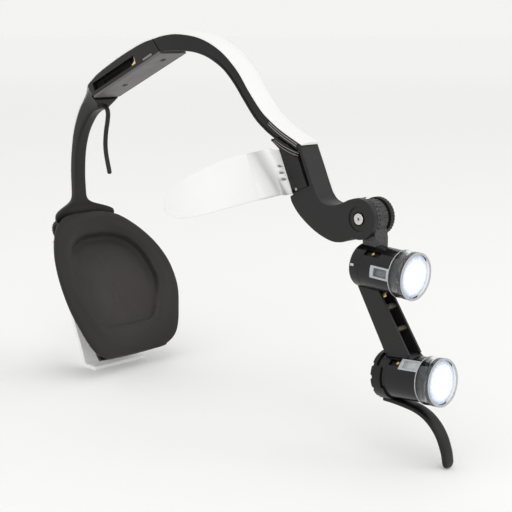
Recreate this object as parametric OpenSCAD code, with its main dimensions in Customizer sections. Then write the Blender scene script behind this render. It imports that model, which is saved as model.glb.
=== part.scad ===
/* [Headband] */
// Half width of the battery housing and of the shell over it
housing_hw = 11.5; // [11:0.1:12]
// Half width of the band at its front end
front_hw = 7; // [6.6:0.1:7.2]
// Half width of the rear band
rear_hw = 4.5; // [4.2:0.1:5]
// Thickness of the white outer shell at its edges
shell_edge = 1; // [0.8:0.1:1.3]

/* [Neck rest] */
// Radius that the pad curves to round the back of the head
nape_r = 86; // [84:1:92]
// Angle of the pad from vertical, leaning back at the top
pad_tilt = 30; // [29:0.5:31]
// Largest half width of the pad
pad_hw = 48; // [46:0.5:49]
// Thickness of the cushion
pad_t = 8; // [7:0.5:8.5]

/* [Arm] */
// Lean of the arm from vertical, forward at the bottom
arm_lean = 24; // [23.5:0.1:24.5]
// Width of the arm from side to side
arm_w = 15; // [14.6:0.1:15.2]
// Radius of the eye at the arm's end
eye_r = 11.7; // [11.4:0.1:12]

/* [Forehead rest] */
// Radius that the two wings curve to round the forehead
brow_r = 80; // [78:1:85]

/* [Lamps] */
// Radius of each black lamp body
lamp_r = 12.7; // [12.6:0.1:12.8]
// Radius of each clear front ring
ring_r = 13.5; // [13.4:0.1:13.7]
// Downward angle of the upper lamp
upper_pitch = 3; // [2:0.5:4]
// Upward angle of the lower lamp
lower_pitch = 4; // [3:0.5:5]
/* [Hidden] */
$fn = 64;

// ---- shared geometry helpers ----

// Extrudes a side outline, drawn as [y, z], across the width from x0 to x1.
module side(x0, x1) {
    translate([x0, 0, 0])
        rotate([90, 0, 90])
            linear_extrude(x1 - x0)
                children();
}

// A cylinder along X from x0 to x1 on the axis through [y, z].
module bar_x(y, z, r, x0, x1) {
    translate([x0, y, z])
        rotate([0, 90, 0])
            cylinder(r = r, h = x1 - x0);
}

// Catmull-Rom point between p1 and p2.
function catmull(p0, p1, p2, p3, t) =
    0.5 * (2 * p1 + (p2 - p0) * t + (2 * p0 - 5 * p1 + 4 * p2 - p3) * t * t
    + (3 * p1 - p0 - 3 * p2 + p3) * t * t * t);

// Points of a smooth curve through pts, n steps in each span.
function smooth(pts, n) = [
    for (i = [0 : len(pts) - 2])
        for (k = [0 : n - 1])
            catmull(pts[max(i - 1, 0)], pts[i], pts[i + 1],
                    pts[min(i + 2, len(pts) - 1)], k / n),
    pts[len(pts) - 1]
];

function unit(v) = v / norm(v);

// Left-hand normals of a curve given as [y, z] points.
function normals(c) = [
    for (i = [0 : len(c) - 1])
        let (d = unit(c[min(i + 1, len(c) - 1)] - c[max(i - 1, 0)]))
            [d[1], -d[0]]
];

// Curve moved along its normals by d.
function moved(c, d) = let (n = normals(c)) [for (i = [0 : len(c) - 1]) c[i] + d * n[i]];

function reversed(c) = [for (i = [len(c) - 1 : -1 : 0]) c[i]];

function slice(c, a, b) = [for (i = [a : b]) c[i]];

// Closed strip between two offsets of a curve.
function strip(c, d0, d1) = concat(moved(c, d0), reversed(moved(c, d1)));

// ---- headband curve: where the white shell meets the black parts ----

steps = 3;
band_pts = [
    [43.6, 104], [44.5, 128], [43.2, 148], [39.2, 166], [32.5, 180], [26, 187.4],
    [16.6, 194.8], [7.2, 201.8], [-2.4, 207.8], [-24, 218], [-45.7, 226.6],
    [-58, 229.9], [-70, 232.4], [-83.5, 233], [-101.4, 230.3], [-118.2, 223],
    [-132.1, 211.8], [-142.1, 199.6], [-151.8, 189], [-159.7, 183], [-170, 177], [-185.6, 170]
];
band = smooth(band_pts, steps);
seam = 11 * steps;
housing_start = [5.2, 190.2];
housing_end = [-66, 221.2];
cover_t = 1.8;
fit = 0.3;

// Half width along the band's length, as [y, half width].
plan_half = smooth([
    [60, housing_hw], [-30, housing_hw], [-58, housing_hw - 0.3], [-92, 9],
    [-125, 7.6], [-150, front_hw + 0.1], [-165, front_hw], [-200, front_hw]
], 3);

// Half width of the neck behind the housing, against the distance along the
// direction that the neck flares in.
flare_ang = 48.6;
neck_half = concat(
    [[0, rear_hw]],
    smooth([
        [94, rear_hw], [100, rear_hw], [106, rear_hw + 0.9], [112, rear_hw + 2.5],
        [117, rear_hw + 4.7], [121.6, housing_hw - 0.2], [126, housing_hw + 1.6]
    ], 3),
    [[400, housing_hw + 2]]);

function flare_at(p) = p[1] * cos(flare_ang) - p[0] * sin(flare_ang);

// Half width of the band at a side point [y, z].
function half_at(p) = min(lookup(p[0], plan_half), lookup(flare_at(p), neck_half));

module band_envelope() {
    intersection() {
        linear_extrude(300)
            polygon(concat(
                [for (p = plan_half) [-p[1], p[0]]],
                [for (p = reversed(plan_half)) [p[1], p[0]]]));
        rotate([flare_ang + 90, 0, 0])
            linear_extrude(700, center = true)
                polygon(concat(
                    [for (p = neck_half) [-p[1], p[0]]],
                    [for (p = reversed(neck_half)) [p[1], p[0]]]));
    }
}
// ---- headband ----

// Thickness of the shell along its middle line, against the band's points.
shell_crown = [[0, 1.8], [5, 2.4], [12, 3], [17, 2.4], [21, 2]];
// How far the shell's edges stand out past the black parts.
shell_over = [[0, -0.6], [6, -0.3], [9, 0.5], [21, 0.5]];
shell_arc = 8;

// Cross section of the crowned shell at point i of the band.
function shell_ring(i) =
    let (n = normals(band)[i], w = half_at(band[i]) + lookup(i / steps, shell_over),
         rise = lookup(i / steps, shell_crown) - shell_edge)
        concat(
            [for (x = [-w, w]) [x, band[i][0] + 0.05 * n[0], band[i][1] + 0.05 * n[1]]],
            [for (k = [0 : shell_arc])
                let (a = 180 * k / shell_arc, d = shell_edge + rise * pow(sin(a), 2))
                    [w * cos(a), band[i][0] + d * n[0], band[i][1] + d * n[1]]]);

module band_shell() {
    ring_n = shell_arc + 3;
    last = len(band) - 1;
    color("white")
        polyhedron(
            points = [for (i = [0 : last]) each shell_ring(i)],
            faces = concat(
                [[for (k = [0 : ring_n - 1]) k]],
                [for (i = [0 : last - 1]) for (k = [0 : ring_n - 1])
                    [i * ring_n + k, (i + 1) * ring_n + k,
                     (i + 1) * ring_n + (k + 1) % ring_n, i * ring_n + (k + 1) % ring_n]],
                [[for (k = [ring_n - 1 : -1 : 0]) last * ring_n + k]]));
}

neck_inner = smooth([
    [38, 118], [38.4, 134], [36.6, 150], [31.5, 164], [23, 175], [15, 181],
    [9.8, 182.2], [7.4, 185.6], [6.2, 189.8]
], 3);
module rear_band() {
    color("#26262a")
        intersection() {
            side(-20, 20)
                polygon(concat(
                    [[44.2, 118]],
                    slice(band, 2, 6 * steps + 1),
                    [[11.9, 198.3], [9.7, 190.3], [6.2, 190.3]],
                    reversed(neck_inner)));
            band_envelope();
        }
}

// Straight front end of the band, where the slider runs.
band_tip = [-185.6, 170];
slope_dir = unit([-170, 177] - band_tip);
slope_up = [-slope_dir[1], slope_dir[0]];

// Point s back from the tip along the front end, and d above its top line.
function slope(s, d) = band_tip + s * slope_dir + d * slope_up;

band_end_s = 2.6;
band_depth = 7.06;

front_inner = smooth([
    [-65.2, 222.2], [-76, 222.8], [-90.5, 222.6], [-100.4, 221], [-109.2, 218],
    [-120.1, 211.9], [-129.1, 203.5], [-137.1, 194], [-146.3, 183.7], [-154.3, 177.6],
    [-162.6, 172.9], slope(band_end_s, -band_depth)
], 3);

wire_path = slice(band, seam + 1, len(band) - 3);

module front_band() {
    color("#1d1d20")
        difference() {
            intersection() {
                side(-20, 20)
                    polygon(concat(
                        slice(band, seam, len(band) - 2),
                        [slope(band_end_s, 0)],
                        reversed(front_inner)));
                band_envelope();
            }
            // groove for the ribbon
            side(-2.4, 2.4)
                polygon(strip(slice(band, seam - 1, len(band) - 3), -1.4, 0.5));
        }
}
// Directions along and across the housing's flat underside.
under_dir = unit(housing_end - housing_start);
under_nrm = [under_dir[1], -under_dir[0]];
under_ang = atan2(under_dir[1], under_dir[0]);

// Point s along the underside from its rear end and d above it.
function under(s, d) = housing_start + s * under_dir + d * under_nrm;

bay_s = [3, 52];
bay_d = [3.8, 9.4];
button_s = [59, 69];
button_d = [2.3, 3.9];
chamber_s = [53.5, 63];
cell_end = 46.1;

// Closed outline between two distances along the underside and two above it.
function block(s, d) = [under(s[0], d[0]), under(s[1], d[0]), under(s[1], d[1]), under(s[0], d[1])];

// Each cover screw's place along the underside and how deep it goes.
cover_screw_at = [[22, 3.4], [66, 5.4]];

// A cylinder square to the underside at s, from d0 to d1.
module under_rod(s, d0, d1, r0, r1) {
    translate([0, under(s, d0)[0], under(s, d0)[1]])
        rotate([under_ang - 180, 0, 0])
            cylinder(r1 = r0, r2 = r1, h = d1 - d0, $fn = 32);
}

module battery_housing() {
    color("#2b2b2f")
        difference() {
            intersection() {
                side(-20, 20)
                    polygon(concat(
                        [[11.4, 198.6]],
                        slice(band, 6 * steps + 2, seam),
                        [under(76.5, cover_t + 0.05), under(0.05, cover_t + 0.05), [9.3, 190.9]]));
                band_envelope();
            }
            // battery bay, open on the wearer's right
            side(-20, 8.6)
                polygon(block(bay_s, bay_d));
            // board chamber above the cover
            side(-8.6, 8.6)
                polygon(block(chamber_s, [0, 8]));
            // way from the bay to the board for the contacts
            side(-8.6, 8.6)
                polygon(block([51, 54], [4.5, 6]));
            // recess for the power button and the slot behind it
            side(-20, -9.2)
                polygon(block(button_s + [-0.3, 0.3], button_d + [-0.3, 0.3]));
            side(-9.3, -8.5)
                polygon(block([60, 62.8], [2.6, 4]));
            for (p = cover_screw_at)
                under_rod(p[0], cover_t, p[1], 0.9, 0.9);
        }
}

module housing_cover() {
    color("#6a6a6c")
        difference() {
            side(-housing_hw + 0.2, housing_hw - 0.2)
                polygon(block([0, 77], [0, cover_t]));
            for (p = cover_screw_at) {
                under_rod(p[0], -1, 4, 1.2, 1.2);
                under_rod(p[0], -0.5, 1.2, 2, 2);
            }
        }
}

module cover_screws() {
    color("#3a3a3c")
        for (p = cover_screw_at) {
            under_rod(p[0], 0.5, 1.15, 1.85, 1.85);
            under_rod(p[0], 1, p[1] - 0.2, 0.88, 0.88);
        }
}

module driver_board() {
    color("darkgreen") {
        side(-8.2, 8.2)
            polygon(block([54.2, 62.4], [2.6, 3.6]));
        for (x = [-6, 1])
            side(x, x + 4)
                polygon(block([56, 60], [3.55, 4.8]));
    }
}

module battery_contacts() {
    color("#d9a441")
        for (x = [-10.8, -6.8])
            side(x, x + 2.2)
                polygon([
                    under(47, 3.85), under(51.95, 3.85), under(51.95, 9), under(51, 9),
                    under(50.4, 6), under(47, 4.8)]);
}
battery_hw = 8.2;

module battery_cell() {
    color("#3d4a63")
        side(-8.6, battery_hw)
            polygon(block([bay_s[0] + fit, cell_end], [bay_d[0] + fit, bay_d[1] - fit]));
}

module battery_cap() {
    color("#0d0d0f")
        difference() {
            side(-9.8, -8.6)
                polygon(block([bay_s[0] + fit, cell_end], [bay_d[0] + fit, bay_d[1] - fit]));
            // finger groove
            side(-9.9, -9.2)
                polygon(block([14, 34], [5, 6.4]));
        }
}

module power_button() {
    color("#b8b4b0")
        side(-11.3, -9.9)
            polygon(block(button_s, button_d));
}

// A flexible ribbon laid in a groove under the shell.
module power_ribbon() {
    color("#a86b2a")
        side(-2, 2)
            polygon(strip(wire_path, -1.1, -0.9));
}

// Points along the band's front end that the rack's teeth follow.
rack_steps = 9;
rack_line = slice(smooth(band_pts, rack_steps), 19 * rack_steps, 21 * rack_steps - 2);
module adjust_rack() {
    n = normals(rack_line);
    color("#8d8d8b")
        for (x = [-front_hw - 0.5, front_hw + 0.02])
            side(x, x + 0.48)
                polygon(concat(
                    moved(rack_line, -1.5),
                    [for (i = [len(rack_line) - 1 : -1 : 0])
                        rack_line[i] - (i % 2 == 0 ? 2.9 : 3.6) * n[i]]));
}

hook_pts = smooth([
    [10, 184.2], [7.6, 183.6], [5.2, 181.4], [4.5, 178], [5.4, 173], [6.8, 168], [7.9, 162],
    [8.3, 156.5], [7.8, 151], [6.5, 145.5], [4.8, 139.5]
], 3);
hook_t = 1.4;
module rear_hook() {
    color("#1a1a1d")
        difference() {
            union() {
                side(-1.45, 1.45)
                    polygon(strip(hook_pts, -hook_t, hook_t));
                bar_x(4.8, 139.5, 1.45, -1.45, 1.45);
            }
            // clear of the neck above
            side(-5, 5)
                polygon(concat(reversed(neck_inner), [[45, 120], [40, 200], [5, 200]]));
        }
}

pivot = [38, 95.5];
fan_r = 46;
fan_y = 43.5;
barrel_hw = 7.7;
module neck_bracket() {
    color("#1c1c1f")
        difference() {
            union() {
                // fan, a thin curved plate spread from the end of the band
                intersection() {
                    translate([0, fan_y - fan_r, 80])
                        difference() {
                            cylinder(r = fan_r, h = 60, $fn = 160);
                            translate([0, 0, -1])
                                cylinder(r = fan_r - 3.2, h = 62, $fn = 160);
                        }
                    translate([0, 60, 0])
                        rotate([90, 0, 0])
                            linear_extrude(50)
                                polygon(concat(
                                    [[-barrel_hw, 96], [barrel_hw, 96], [16, 99.5], [24, 102]],
                                    smooth([[24, 108], [17, 111.2], [9, 113.5], [4.6, 117.95]], 4),
                                    smooth([[-4.6, 117.95], [-9, 113.5], [-17, 111.2], [-24, 108]], 4),
                                    [[-24, 102], [-16, 99.5]]));
                }
                bar_x(pivot[0], pivot[1], 4.6, -barrel_hw, barrel_hw);
            }
            bar_x(pivot[0], pivot[1], 2.55, -20, 20);
            // room for the rest's own lugs
            for (x = [-17, barrel_hw])
                bar_x(pivot[0], pivot[1], 5.8, x, x + 9.3);
            // and for the knob at its side
            bar_x(pivot[0], pivot[1], 7, -24.6, -15.6);
        }
}

// ---- neck rest, in a frame that leans with the pad ----

rest_y = -23;
rest_z = 13;

// Frame of the pad: its own x across, y towards the back, z up its slope.
module pad_frame() {
    translate([0, rest_y, rest_z])
        rotate([-pad_tilt, 0, 0])
            children();
}

// Half outline of the cushion as [half width, height up the slope].
pad_half = smooth([
    [23, 0], [34.5, 9], [43, 22], [pad_hw - 0.6, 36], [pad_hw, 48], [pad_hw - 1, 62],
    [43.4, 77.5], [36, 92.5], [25.6, 104.2], [12.6, 109.4]
], 3);

// Half outline of the plate behind it.
base_half = smooth([
    [28, 1], [30.5, 4], [31, 30], [31, 60], [28, 80], [20, 92]
], 3);

// A plate curved round the nape between two depths, cut to a half outline.
module pad_solid(half, d0, d1) {
    intersection() {
        translate([0, -nape_r, -10])
            difference() {
                cylinder(r = nape_r + d1, h = 130, $fn = 160);
                translate([0, 0, -1])
                    cylinder(r = nape_r + d0, h = 132, $fn = 160);
            }
        translate([0, 40, 0])
            rotate([90, 0, 0])
                linear_extrude(90)
                    polygon(concat(
                        [for (p = half) [-p[0], p[1]]],
                        [for (p = reversed(half)) [p[0], p[1]]]));
    }
}
module neck_pad() {
    color("#2e2c2d")
        difference() {
            pad_frame()
                pad_solid(pad_half, 0, pad_t);
            // room for the bracket's barrel and the knob
            bar_x(pivot[0], pivot[1], 6.2, -18, 18);
            bar_x(pivot[0], pivot[1], 7, -24.6, -15.6);
            // and for its fan
            intersection() {
                translate([0, fan_y - fan_r, 96])
                    difference() {
                        cylinder(r = fan_r + 6, h = 30, $fn = 160);
                        translate([0, 0, -1])
                            cylinder(r = fan_r - 5, h = 32, $fn = 160);
                    }
                translate([-26, 20, 97])
                    cube([52, 40, 20]);
            }
        }
}

base_t = 2.6;
rest_screw_x = 12;
rest_screw_z = [30, 56];

module pad_base() {
    color("#17171a")
        difference() {
            pad_frame()
                pad_solid(base_half, pad_t + 0.05, pad_t + base_t);
            bar_x(pivot[0], pivot[1], 6.2, -18, 18);
            rest_holes(1.1);
        }
}

// Four holes through the base and into the back shell's bosses.
module rest_holes(r) {
    pad_frame()
        for (x = [-rest_screw_x, rest_screw_x])
            for (z = rest_screw_z)
                translate([x, pad_t + 8, z])
                    rotate([90, 0, 0])
                        cylinder(r = r, h = 12, $fn = 32);
}

// Back shell: a white strap behind the pad that ends in a flat foot.
shell_back = smooth([
    [46.5, 86], [42.5, 74], [36, 58], [28.5, 42], [20.5, 24], [14, 9], [10.6, 0]
], 4);
strap_t = 2.6;
foot_hw = 22;
lug_x = [8, 15.6];

// Depth of the base's rear face at x, in the pad's frame.
function base_rear(x) = sqrt(pow(nape_r + pad_t + base_t, 2) - x * x) - nape_r;

module back_shell() {
    color("white")
        difference() {
            union() {
                side(-foot_hw, foot_hw)
                    polygon(strip(shell_back, 0, strap_t));
                side(-foot_hw, foot_hw)
                    polygon([[-3, 0], [10.6, 0], [11.4, 2.4], [-3, 2.4]]);
                // bosses that carry the pad's base
                pad_frame()
                    for (x = [-rest_screw_x, rest_screw_x])
                        for (z = rest_screw_z)
                            translate([x, 32, z])
                                rotate([90, 0, 0])
                                    cylinder(r = 3.4, h = 32 - base_rear(rest_screw_x - 3.4) - 0.3, $fn = 32);
                // lugs round the axle
                for (x = [-lug_x[1], lug_x[0]]) {
                    bar_x(pivot[0], pivot[1], 5, x, x + lug_x[1] - lug_x[0]);
                    side(x, x + lug_x[1] - lug_x[0])
                        polygon([[34.6, 92], [42.4, 97], [46.6, 86.6], [44.6, 83], [39.6, 83.6]]);
                }
            }
            bar_x(pivot[0], pivot[1], 2.52, -30, 30);
            // nothing behind the strap's rear face
            side(-50, 50)
                polygon(concat(shell_back, [[10.6, -20], [70, -20], [70, 86]]));
            rest_holes(0.9);
        }
}

module pad_screws() {
    color("silver")
        pad_frame()
            for (x = [-rest_screw_x, rest_screw_x])
                for (z = rest_screw_z)
                    translate([x, pad_t + 7.6, z])
                        rotate([90, 0, 0])
                            cylinder(r = 0.86, h = 7.4, $fn = 24);
}
module pad_axle() {
    color("silver") {
        bar_x(pivot[0], pivot[1], 2.5, -20.4, 15.8);
        bar_x(pivot[0], pivot[1], 4, 15.7, 17.3);
    }
}

knob_x = -22.2;
knob_end = -15.95;

module pad_knob() {
    color("#131315")
        difference() {
            translate([knob_x, pivot[0], pivot[1]])
                rotate([0, 90, 0])
                    linear_extrude(knob_end - knob_x)
                        union() {
                            circle(r = 6);
                            for (k = [0 : 17])
                                rotate(k * 20)
                                    translate([6, 0])
                                        circle(r = 0.6, $fn = 16);
                        }
            bar_x(pivot[0], pivot[1], 2.56, -20.6, -15);
            bar_x(pivot[0], pivot[1], 4, knob_x - 0.1, knob_x + 0.6);
        }
}

// ---- slider and forehead rest, in a frame that leans with the arm ----

arm_top = slope(0, -7.2);

// Frame of the arm: origin at the band's lower front corner, y back, z up.
module arm_frame() {
    translate([0, arm_top[0], arm_top[1]])
        rotate([-arm_lean, 0, 0])
            children();
}

// Point of the arm's frame, as [y, z] of the whole model.
function arm_pt(y, z) =
    arm_top + y * [cos(arm_lean), -sin(arm_lean)] + z * [sin(arm_lean), cos(arm_lean)];

function arm_block(y, z) =
    [arm_pt(y[0], z[0]), arm_pt(y[1], z[0]), arm_pt(y[1], z[1]), arm_pt(y[0], z[1])];

slider_back = 12.4;
slider_bottom = -18.2;
flange_d = -7.45;
rail_x = [front_hw + 0.35, front_hw + 1.1];
tongue_x = [-5.4, 0.2];
tongue_y = [2, 8];
tongue_end = -33;
plate_screw_z = [-12, 3];
pin_at = [8.8, -16.9];

module arm_slider() {
    color("#232326")
        difference() {
            union() {
                // block behind the arm's front wall
                side(-arm_w / 2, arm_w / 2)
                    polygon([
                        slope(0.1, flange_d), slope(22.4, flange_d), slope(22, -8.8),
                        slope(15.3, -10.15), arm_pt(slider_back, slider_bottom),
                        arm_pt(0, slider_bottom)]);
                // tongue that guides the arm
                side(tongue_x[0], tongue_x[1])
                    polygon(arm_block(tongue_y, [-18, tongue_end]));
                // flange under the band, with a rail up each side
                side(-rail_x[1], rail_x[1])
                    polygon([
                        slope(1.4, flange_d - 0.04), slope(22.8, flange_d - 0.04),
                        slope(22.3, -8.65), slope(1.4, -8.2)]);
                for (x = [-rail_x[1], rail_x[0]])
                    side(x, x + rail_x[1] - rail_x[0])
                        polygon([
                            slope(1.6, -7.9), slope(21.5, -7.9), slope(20.6, -5), slope(1.6, -4.8)]);
            }
            // way through for the wires
            side(1.6, 4.6)
                polygon(arm_block([3, 8], [-30, 30]));
            // holes for the forehead plate's screws
            for (z = plate_screw_z)
                arm_frame()
                    translate([0, slider_back + 0.1, z])
                        rotate([90, 0, 0])
                            cylinder(r = 0.9, h = 5, $fn = 32);
            // hole for the end pin, and the notch beside it
            bar_x(arm_pt(pin_at[0], pin_at[1])[0], arm_pt(pin_at[0], pin_at[1])[1],
                  0.85, -8, -4.6);
            side(-8, -6.4)
                polygon(arm_block([10.3, 11.8], [-19, -16.4]));
        }
}

// Spring tooth on each rail that clicks along the rack.
module detent_pawl() {
    color("silver")
        for (x = [-rail_x[1] + 0.15, rail_x[0] + 0.1])
            side(x, x + 0.5)
                polygon([
                    slope(7, -4.85), slope(13, -4.9), slope(10.6, -4.4), slope(10, -4),
                    slope(9.4, -4.4)]);
}

module guide_pin() {
    color("silver")
        arm_frame()
            translate([-arm_w / 2 - 0.15, pin_at[0], pin_at[1]])
                rotate([0, 90, 0])
                    cylinder(r = 0.82, h = 2.9, $fn = 24);
}

plate_back = 14.3;
plate_z = [-18.4, 9];

module forehead_plate() {
    color("white")
        arm_frame()
            difference() {
                side(-14.6, 14.6)
                    polygon([
                        [slider_back + 0.05, plate_z[0]], [plate_back, plate_z[0]],
                        [plate_back, plate_z[1]], [slider_back + 0.05, plate_z[1]]]);
                // three slots each side
                for (x = [-11, 11])
                    for (z = [-8.9, -4.9, -0.9])
                        translate([x - 2.3, 10, z - 0.8])
                            cube([4.6, 6, 1.6]);
                for (z = plate_screw_z)
                    translate([0, 20, z])
                        rotate([90, 0, 0])
                            cylinder(r = 1.25, h = 10, $fn = 32);
            }
}

module plate_screws() {
    color("silver")
        arm_frame()
            for (z = plate_screw_z)
                translate([0, plate_back + 0.9, z])
                    rotate([90, 0, 0]) {
                        cylinder(r = 2.1, h = 0.85, $fn = 32);
                        cylinder(r = 0.88, h = 6, $fn = 32);
                    }
}

wing_t = 1.8;
wing_root = 8.5;
wing_y = plate_back + 0.05 + sqrt(pow(brow_r + wing_t, 2) - wing_root * wing_root);

// Flattened wing outline: distance round the forehead, height.
wing_edge = smooth([
    [6, 9.5], [16, 10.6], [38, 10.3], [52, 8.5], [65, 6.2], [76, 2.8], [82.5, -2.2],
    [84.8, -8], [80, -14], [72, -17], [60, -17.8], [44, -18], [26, -17.8], [6, -17.4]
], 3);

// One wing: a curved strip cut to its outline, seen square on.
module wing(s) {
    color("white")
        arm_frame()
            intersection() {
                translate([0, wing_y, -30])
                    difference() {
                        cylinder(r = brow_r + wing_t, h = 60, $fn = 160);
                        translate([0, 0, -1])
                            cylinder(r = brow_r, h = 62, $fn = 160);
                    }
                translate([0, wing_y, 0])
                    rotate([90, 0, 0])
                        linear_extrude(brow_r + 10)
                            polygon([for (p = wing_edge)
                                [s * brow_r * sin(p[0] / brow_r * 180 / PI), p[1]]]);
                translate([s > 0 ? wing_root : -wing_root - 100, -10, -40])
                    cube([100, 120, 80]);
            }
}

module wing_right() {
    wing(-1);
}

module wing_left() {
    wing(1);
}
// ---- arm ----

hinge = [-229, 132];

// Front and rear outlines of the arm, as [y, z].
arm_front = smooth([
    [-190.4, 157.4], [-196, 145.2], [-197.9, 142], [-201.3, 138.8], [-206.4, 137.4],
    [-210.5, 137.8], [-216, 139.4], [-221.5, 142], [-226.5, 143.5]
], 3);
arm_rear = smooth([
    [-221.5, 118.9], [-216, 117.2], [-208, 117.3], [-196.5, 121.4], [-185, 128.8],
    [-178.6, 135.6], [-176.9, 139.7]
], 4);
wall_t = 2.2;
wall_y = -4.4;
arm_top_z = -18.5;
cover_x = arm_w / 2 - 1.85;
slot_top = slope(band_end_s - 0.35, -2.16);

module arm_side() {
    polygon(concat(
        [slope(1.06, -0.35)], arm_front, [hinge], arm_rear,
        [arm_pt(12.3, -19.1), arm_pt(12.2, arm_top_z), arm_pt(wall_y + wall_t, arm_top_z),
         slot_top, slope(band_end_s - 0.35, -0.35)]));
    translate(hinge)
        circle(r = eye_r);
}

eye_x = [-arm_w / 2, -4];
seat_x = -6.9;
screw_seat_x = -5.95;
wire_line = smooth([
    arm_pt(5.5, -17), arm_pt(4.5, -26), [-191, 133.6], [-199, 130.5], [-208, 129.6],
    [-218, 130.4]
], 3);
arm_screw_at = [[-185, 132.4], [-206, 122.4]];

module arm_body() {
    color("#262629")
        difference() {
            side(-arm_w / 2, cover_x - 0.05)
                arm_side();
            // space for the barrel beside the eye
            bar_x(hinge[0], hinge[1], eye_r + 0.4, eye_x[1], 20);
            // bore, head seat and ring recess of the hinge screw
            bar_x(hinge[0], hinge[1], 1.6, -20, 0);
            bar_x(hinge[0], hinge[1], 4.1, -20, screw_seat_x);
            bar_x(hinge[0], hinge[1], 7, -20, seat_x);
            // pocket for the slider's tongue
            side(tongue_x[0] - 0.35, tongue_x[1] + 0.35)
                polygon(arm_block([tongue_y[0] - 0.35, tongue_y[1] + 0.35], [-10, tongue_end - 0.6]));
            // wire channel, closed by the cover
            side(1.6, 8)
                polygon(strip(wire_line, -2, 2));
            for (p = arm_screw_at)
                bar_x(p[0], p[1], 0.9, 0, 8);
        }
}

module arm_cover() {
    color("#1f1f22")
        difference() {
            side(cover_x, arm_w / 2)
                arm_side();
            bar_x(hinge[0], hinge[1], eye_r + 0.4, -2, 20);
            for (p = arm_screw_at) {
                bar_x(p[0], p[1], 1.2, 0, 8);
                bar_x(p[0], p[1], 2.1, arm_w / 2 - 0.8, 8);
            }
        }
}

module arm_screws() {
    color("silver")
        for (p = arm_screw_at) {
            bar_x(p[0], p[1], 0.87, 1.5, arm_w / 2 - 0.7);
            bar_x(p[0], p[1], 1.9, arm_w / 2 - 0.75, arm_w / 2 + 0.1);
        }
}

// ---- tilt hinge ----

module hinge_screw() {
    color("silver")
        difference() {
            union() {
                bar_x(hinge[0], hinge[1], 1.57, screw_seat_x - 0.1, 10);
                bar_x(hinge[0], hinge[1], 3.95, -arm_w / 2 - 0.3, screw_seat_x - 0.05);
            }
            bar_x(hinge[0], hinge[1], 0.8, -arm_w / 2 - 0.4, -arm_w / 2 + 0.8);
        }
}

module friction_washer() {
    color("#0c0c0e")
        difference() {
            bar_x(hinge[0], hinge[1], 9.4, 7.3, 7.9);
            bar_x(hinge[0], hinge[1], 1.7, 7, 9);
        }
}

module tension_knob() {
    color("#2f2f32")
        difference() {
            union() {
                bar_x(hinge[0], hinge[1], 11, 8.2, 11.4);
                bar_x(hinge[0], hinge[1], 10.2, 11.3, 12.2);
            }
            bar_x(hinge[0], hinge[1], 1.62, 8, 10.3);
            for (k = [0 : 35])
                translate([0, hinge[0], hinge[1]])
                    rotate([k * 10, 0, 0])
                        translate([8, 11.1, 0])
                            rotate([0, 90, 0])
                                cylinder(r = 0.45, h = 3.6, $fn = 16);
        }
}

barrel_x = [-3.7, 7.1];
module hinge_barrel() {
    color("#3b3b3e")
        difference() {
            union() {
                bar_x(hinge[0], hinge[1], 10, barrel_x[0], barrel_x[1]);
                for (k = [0 : 23])
                    translate([0, hinge[0], hinge[1]])
                        rotate([k * 15, 0, 0])
                            translate([-0.6, 9.8, 0])
                                rotate([0, 90, 0])
                                    cylinder(r = 0.7, h = 6.6, $fn = 16);
                // lug down to the upper lamp
                side(barrel_x[0], barrel_x[1])
                    polygon([
                        [-229, 124], [-237.6, 127], [-238.8, 121.2], [-238.8, 115.4],
                        [-229.5, 115.4]]);
            }
            bar_x(hinge[0], hinge[1], 2.6, -5, 10);
            lamp_tube(0, 0, 60, lamp_r + 0.05, 0);
        }
}

module barrel_bush() {
    color("#b5892f")
        difference() {
            bar_x(hinge[0], hinge[1], 2.58, barrel_x[0], barrel_x[1]);
            bar_x(hinge[0], hinge[1], 1.62, -5, 10);
        }
}

// ---- lamps ----

lamp_at = [[-264.7, 103.3], [-284.8, 47.6]];
lamp_pitch = [upper_pitch, -lower_pitch];

// Frame of a lamp: origin at the centre of its front rim, y towards the rear.
module lamp_frame(i) {
    translate([0, lamp_at[i][0], lamp_at[i][1]])
        rotate([lamp_pitch[i], 0, 0])
            children();
}

// A ring about the lamp's axis, from y0 to y1 behind the front rim.
module lamp_tube(i, y0, y1, r_out, r_in) {
    lamp_frame(i)
        translate([0, y0, 0])
            rotate([-90, 0, 0])
                difference() {
                    cylinder(r = r_out, h = y1 - y0, $fn = 96);
                    if (r_in > 0)
                        translate([0, 0, -1])
                            cylinder(r = r_in, h = y1 - y0 + 2, $fn = 96);
                }
}

body_y0 = 9.8;
ring_y1 = 9.7;
collar_r = 14;
cap_y = [31.4, 31.3];
rear_y = [38.8, 40.4];
slot_ang = -41;

module lamp_body(i) {
    color("#1e1e21")
        difference() {
            lamp_tube(i, body_y0, cap_y[i] - 0.05, lamp_r, 11.2);
            // guide slots in the barrel's wall
            lamp_frame(i)
                for (a = [slot_ang, slot_ang + 180])
                    rotate([0, a, 0])
                        translate([-2.1, 19.5, 8])
                            cube([4.2, 10.6, 8]);
        }
}

module rear_cap(i) {
    color("#242427")
        lamp_frame(i)
            translate([0, cap_y[i], 0])
                rotate([-90, 0, 0])
                    difference() {
                        union() {
                            cylinder(r = lamp_r, h = rear_y[i] - cap_y[i] - 1.5, $fn = 96);
                            cylinder(r = lamp_r - 1.5, h = rear_y[i] - cap_y[i], $fn = 96);
                        }
                        translate([0, 0, -1])
                            cylinder(r = 8, h = 5.3);
                    }
}

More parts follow.
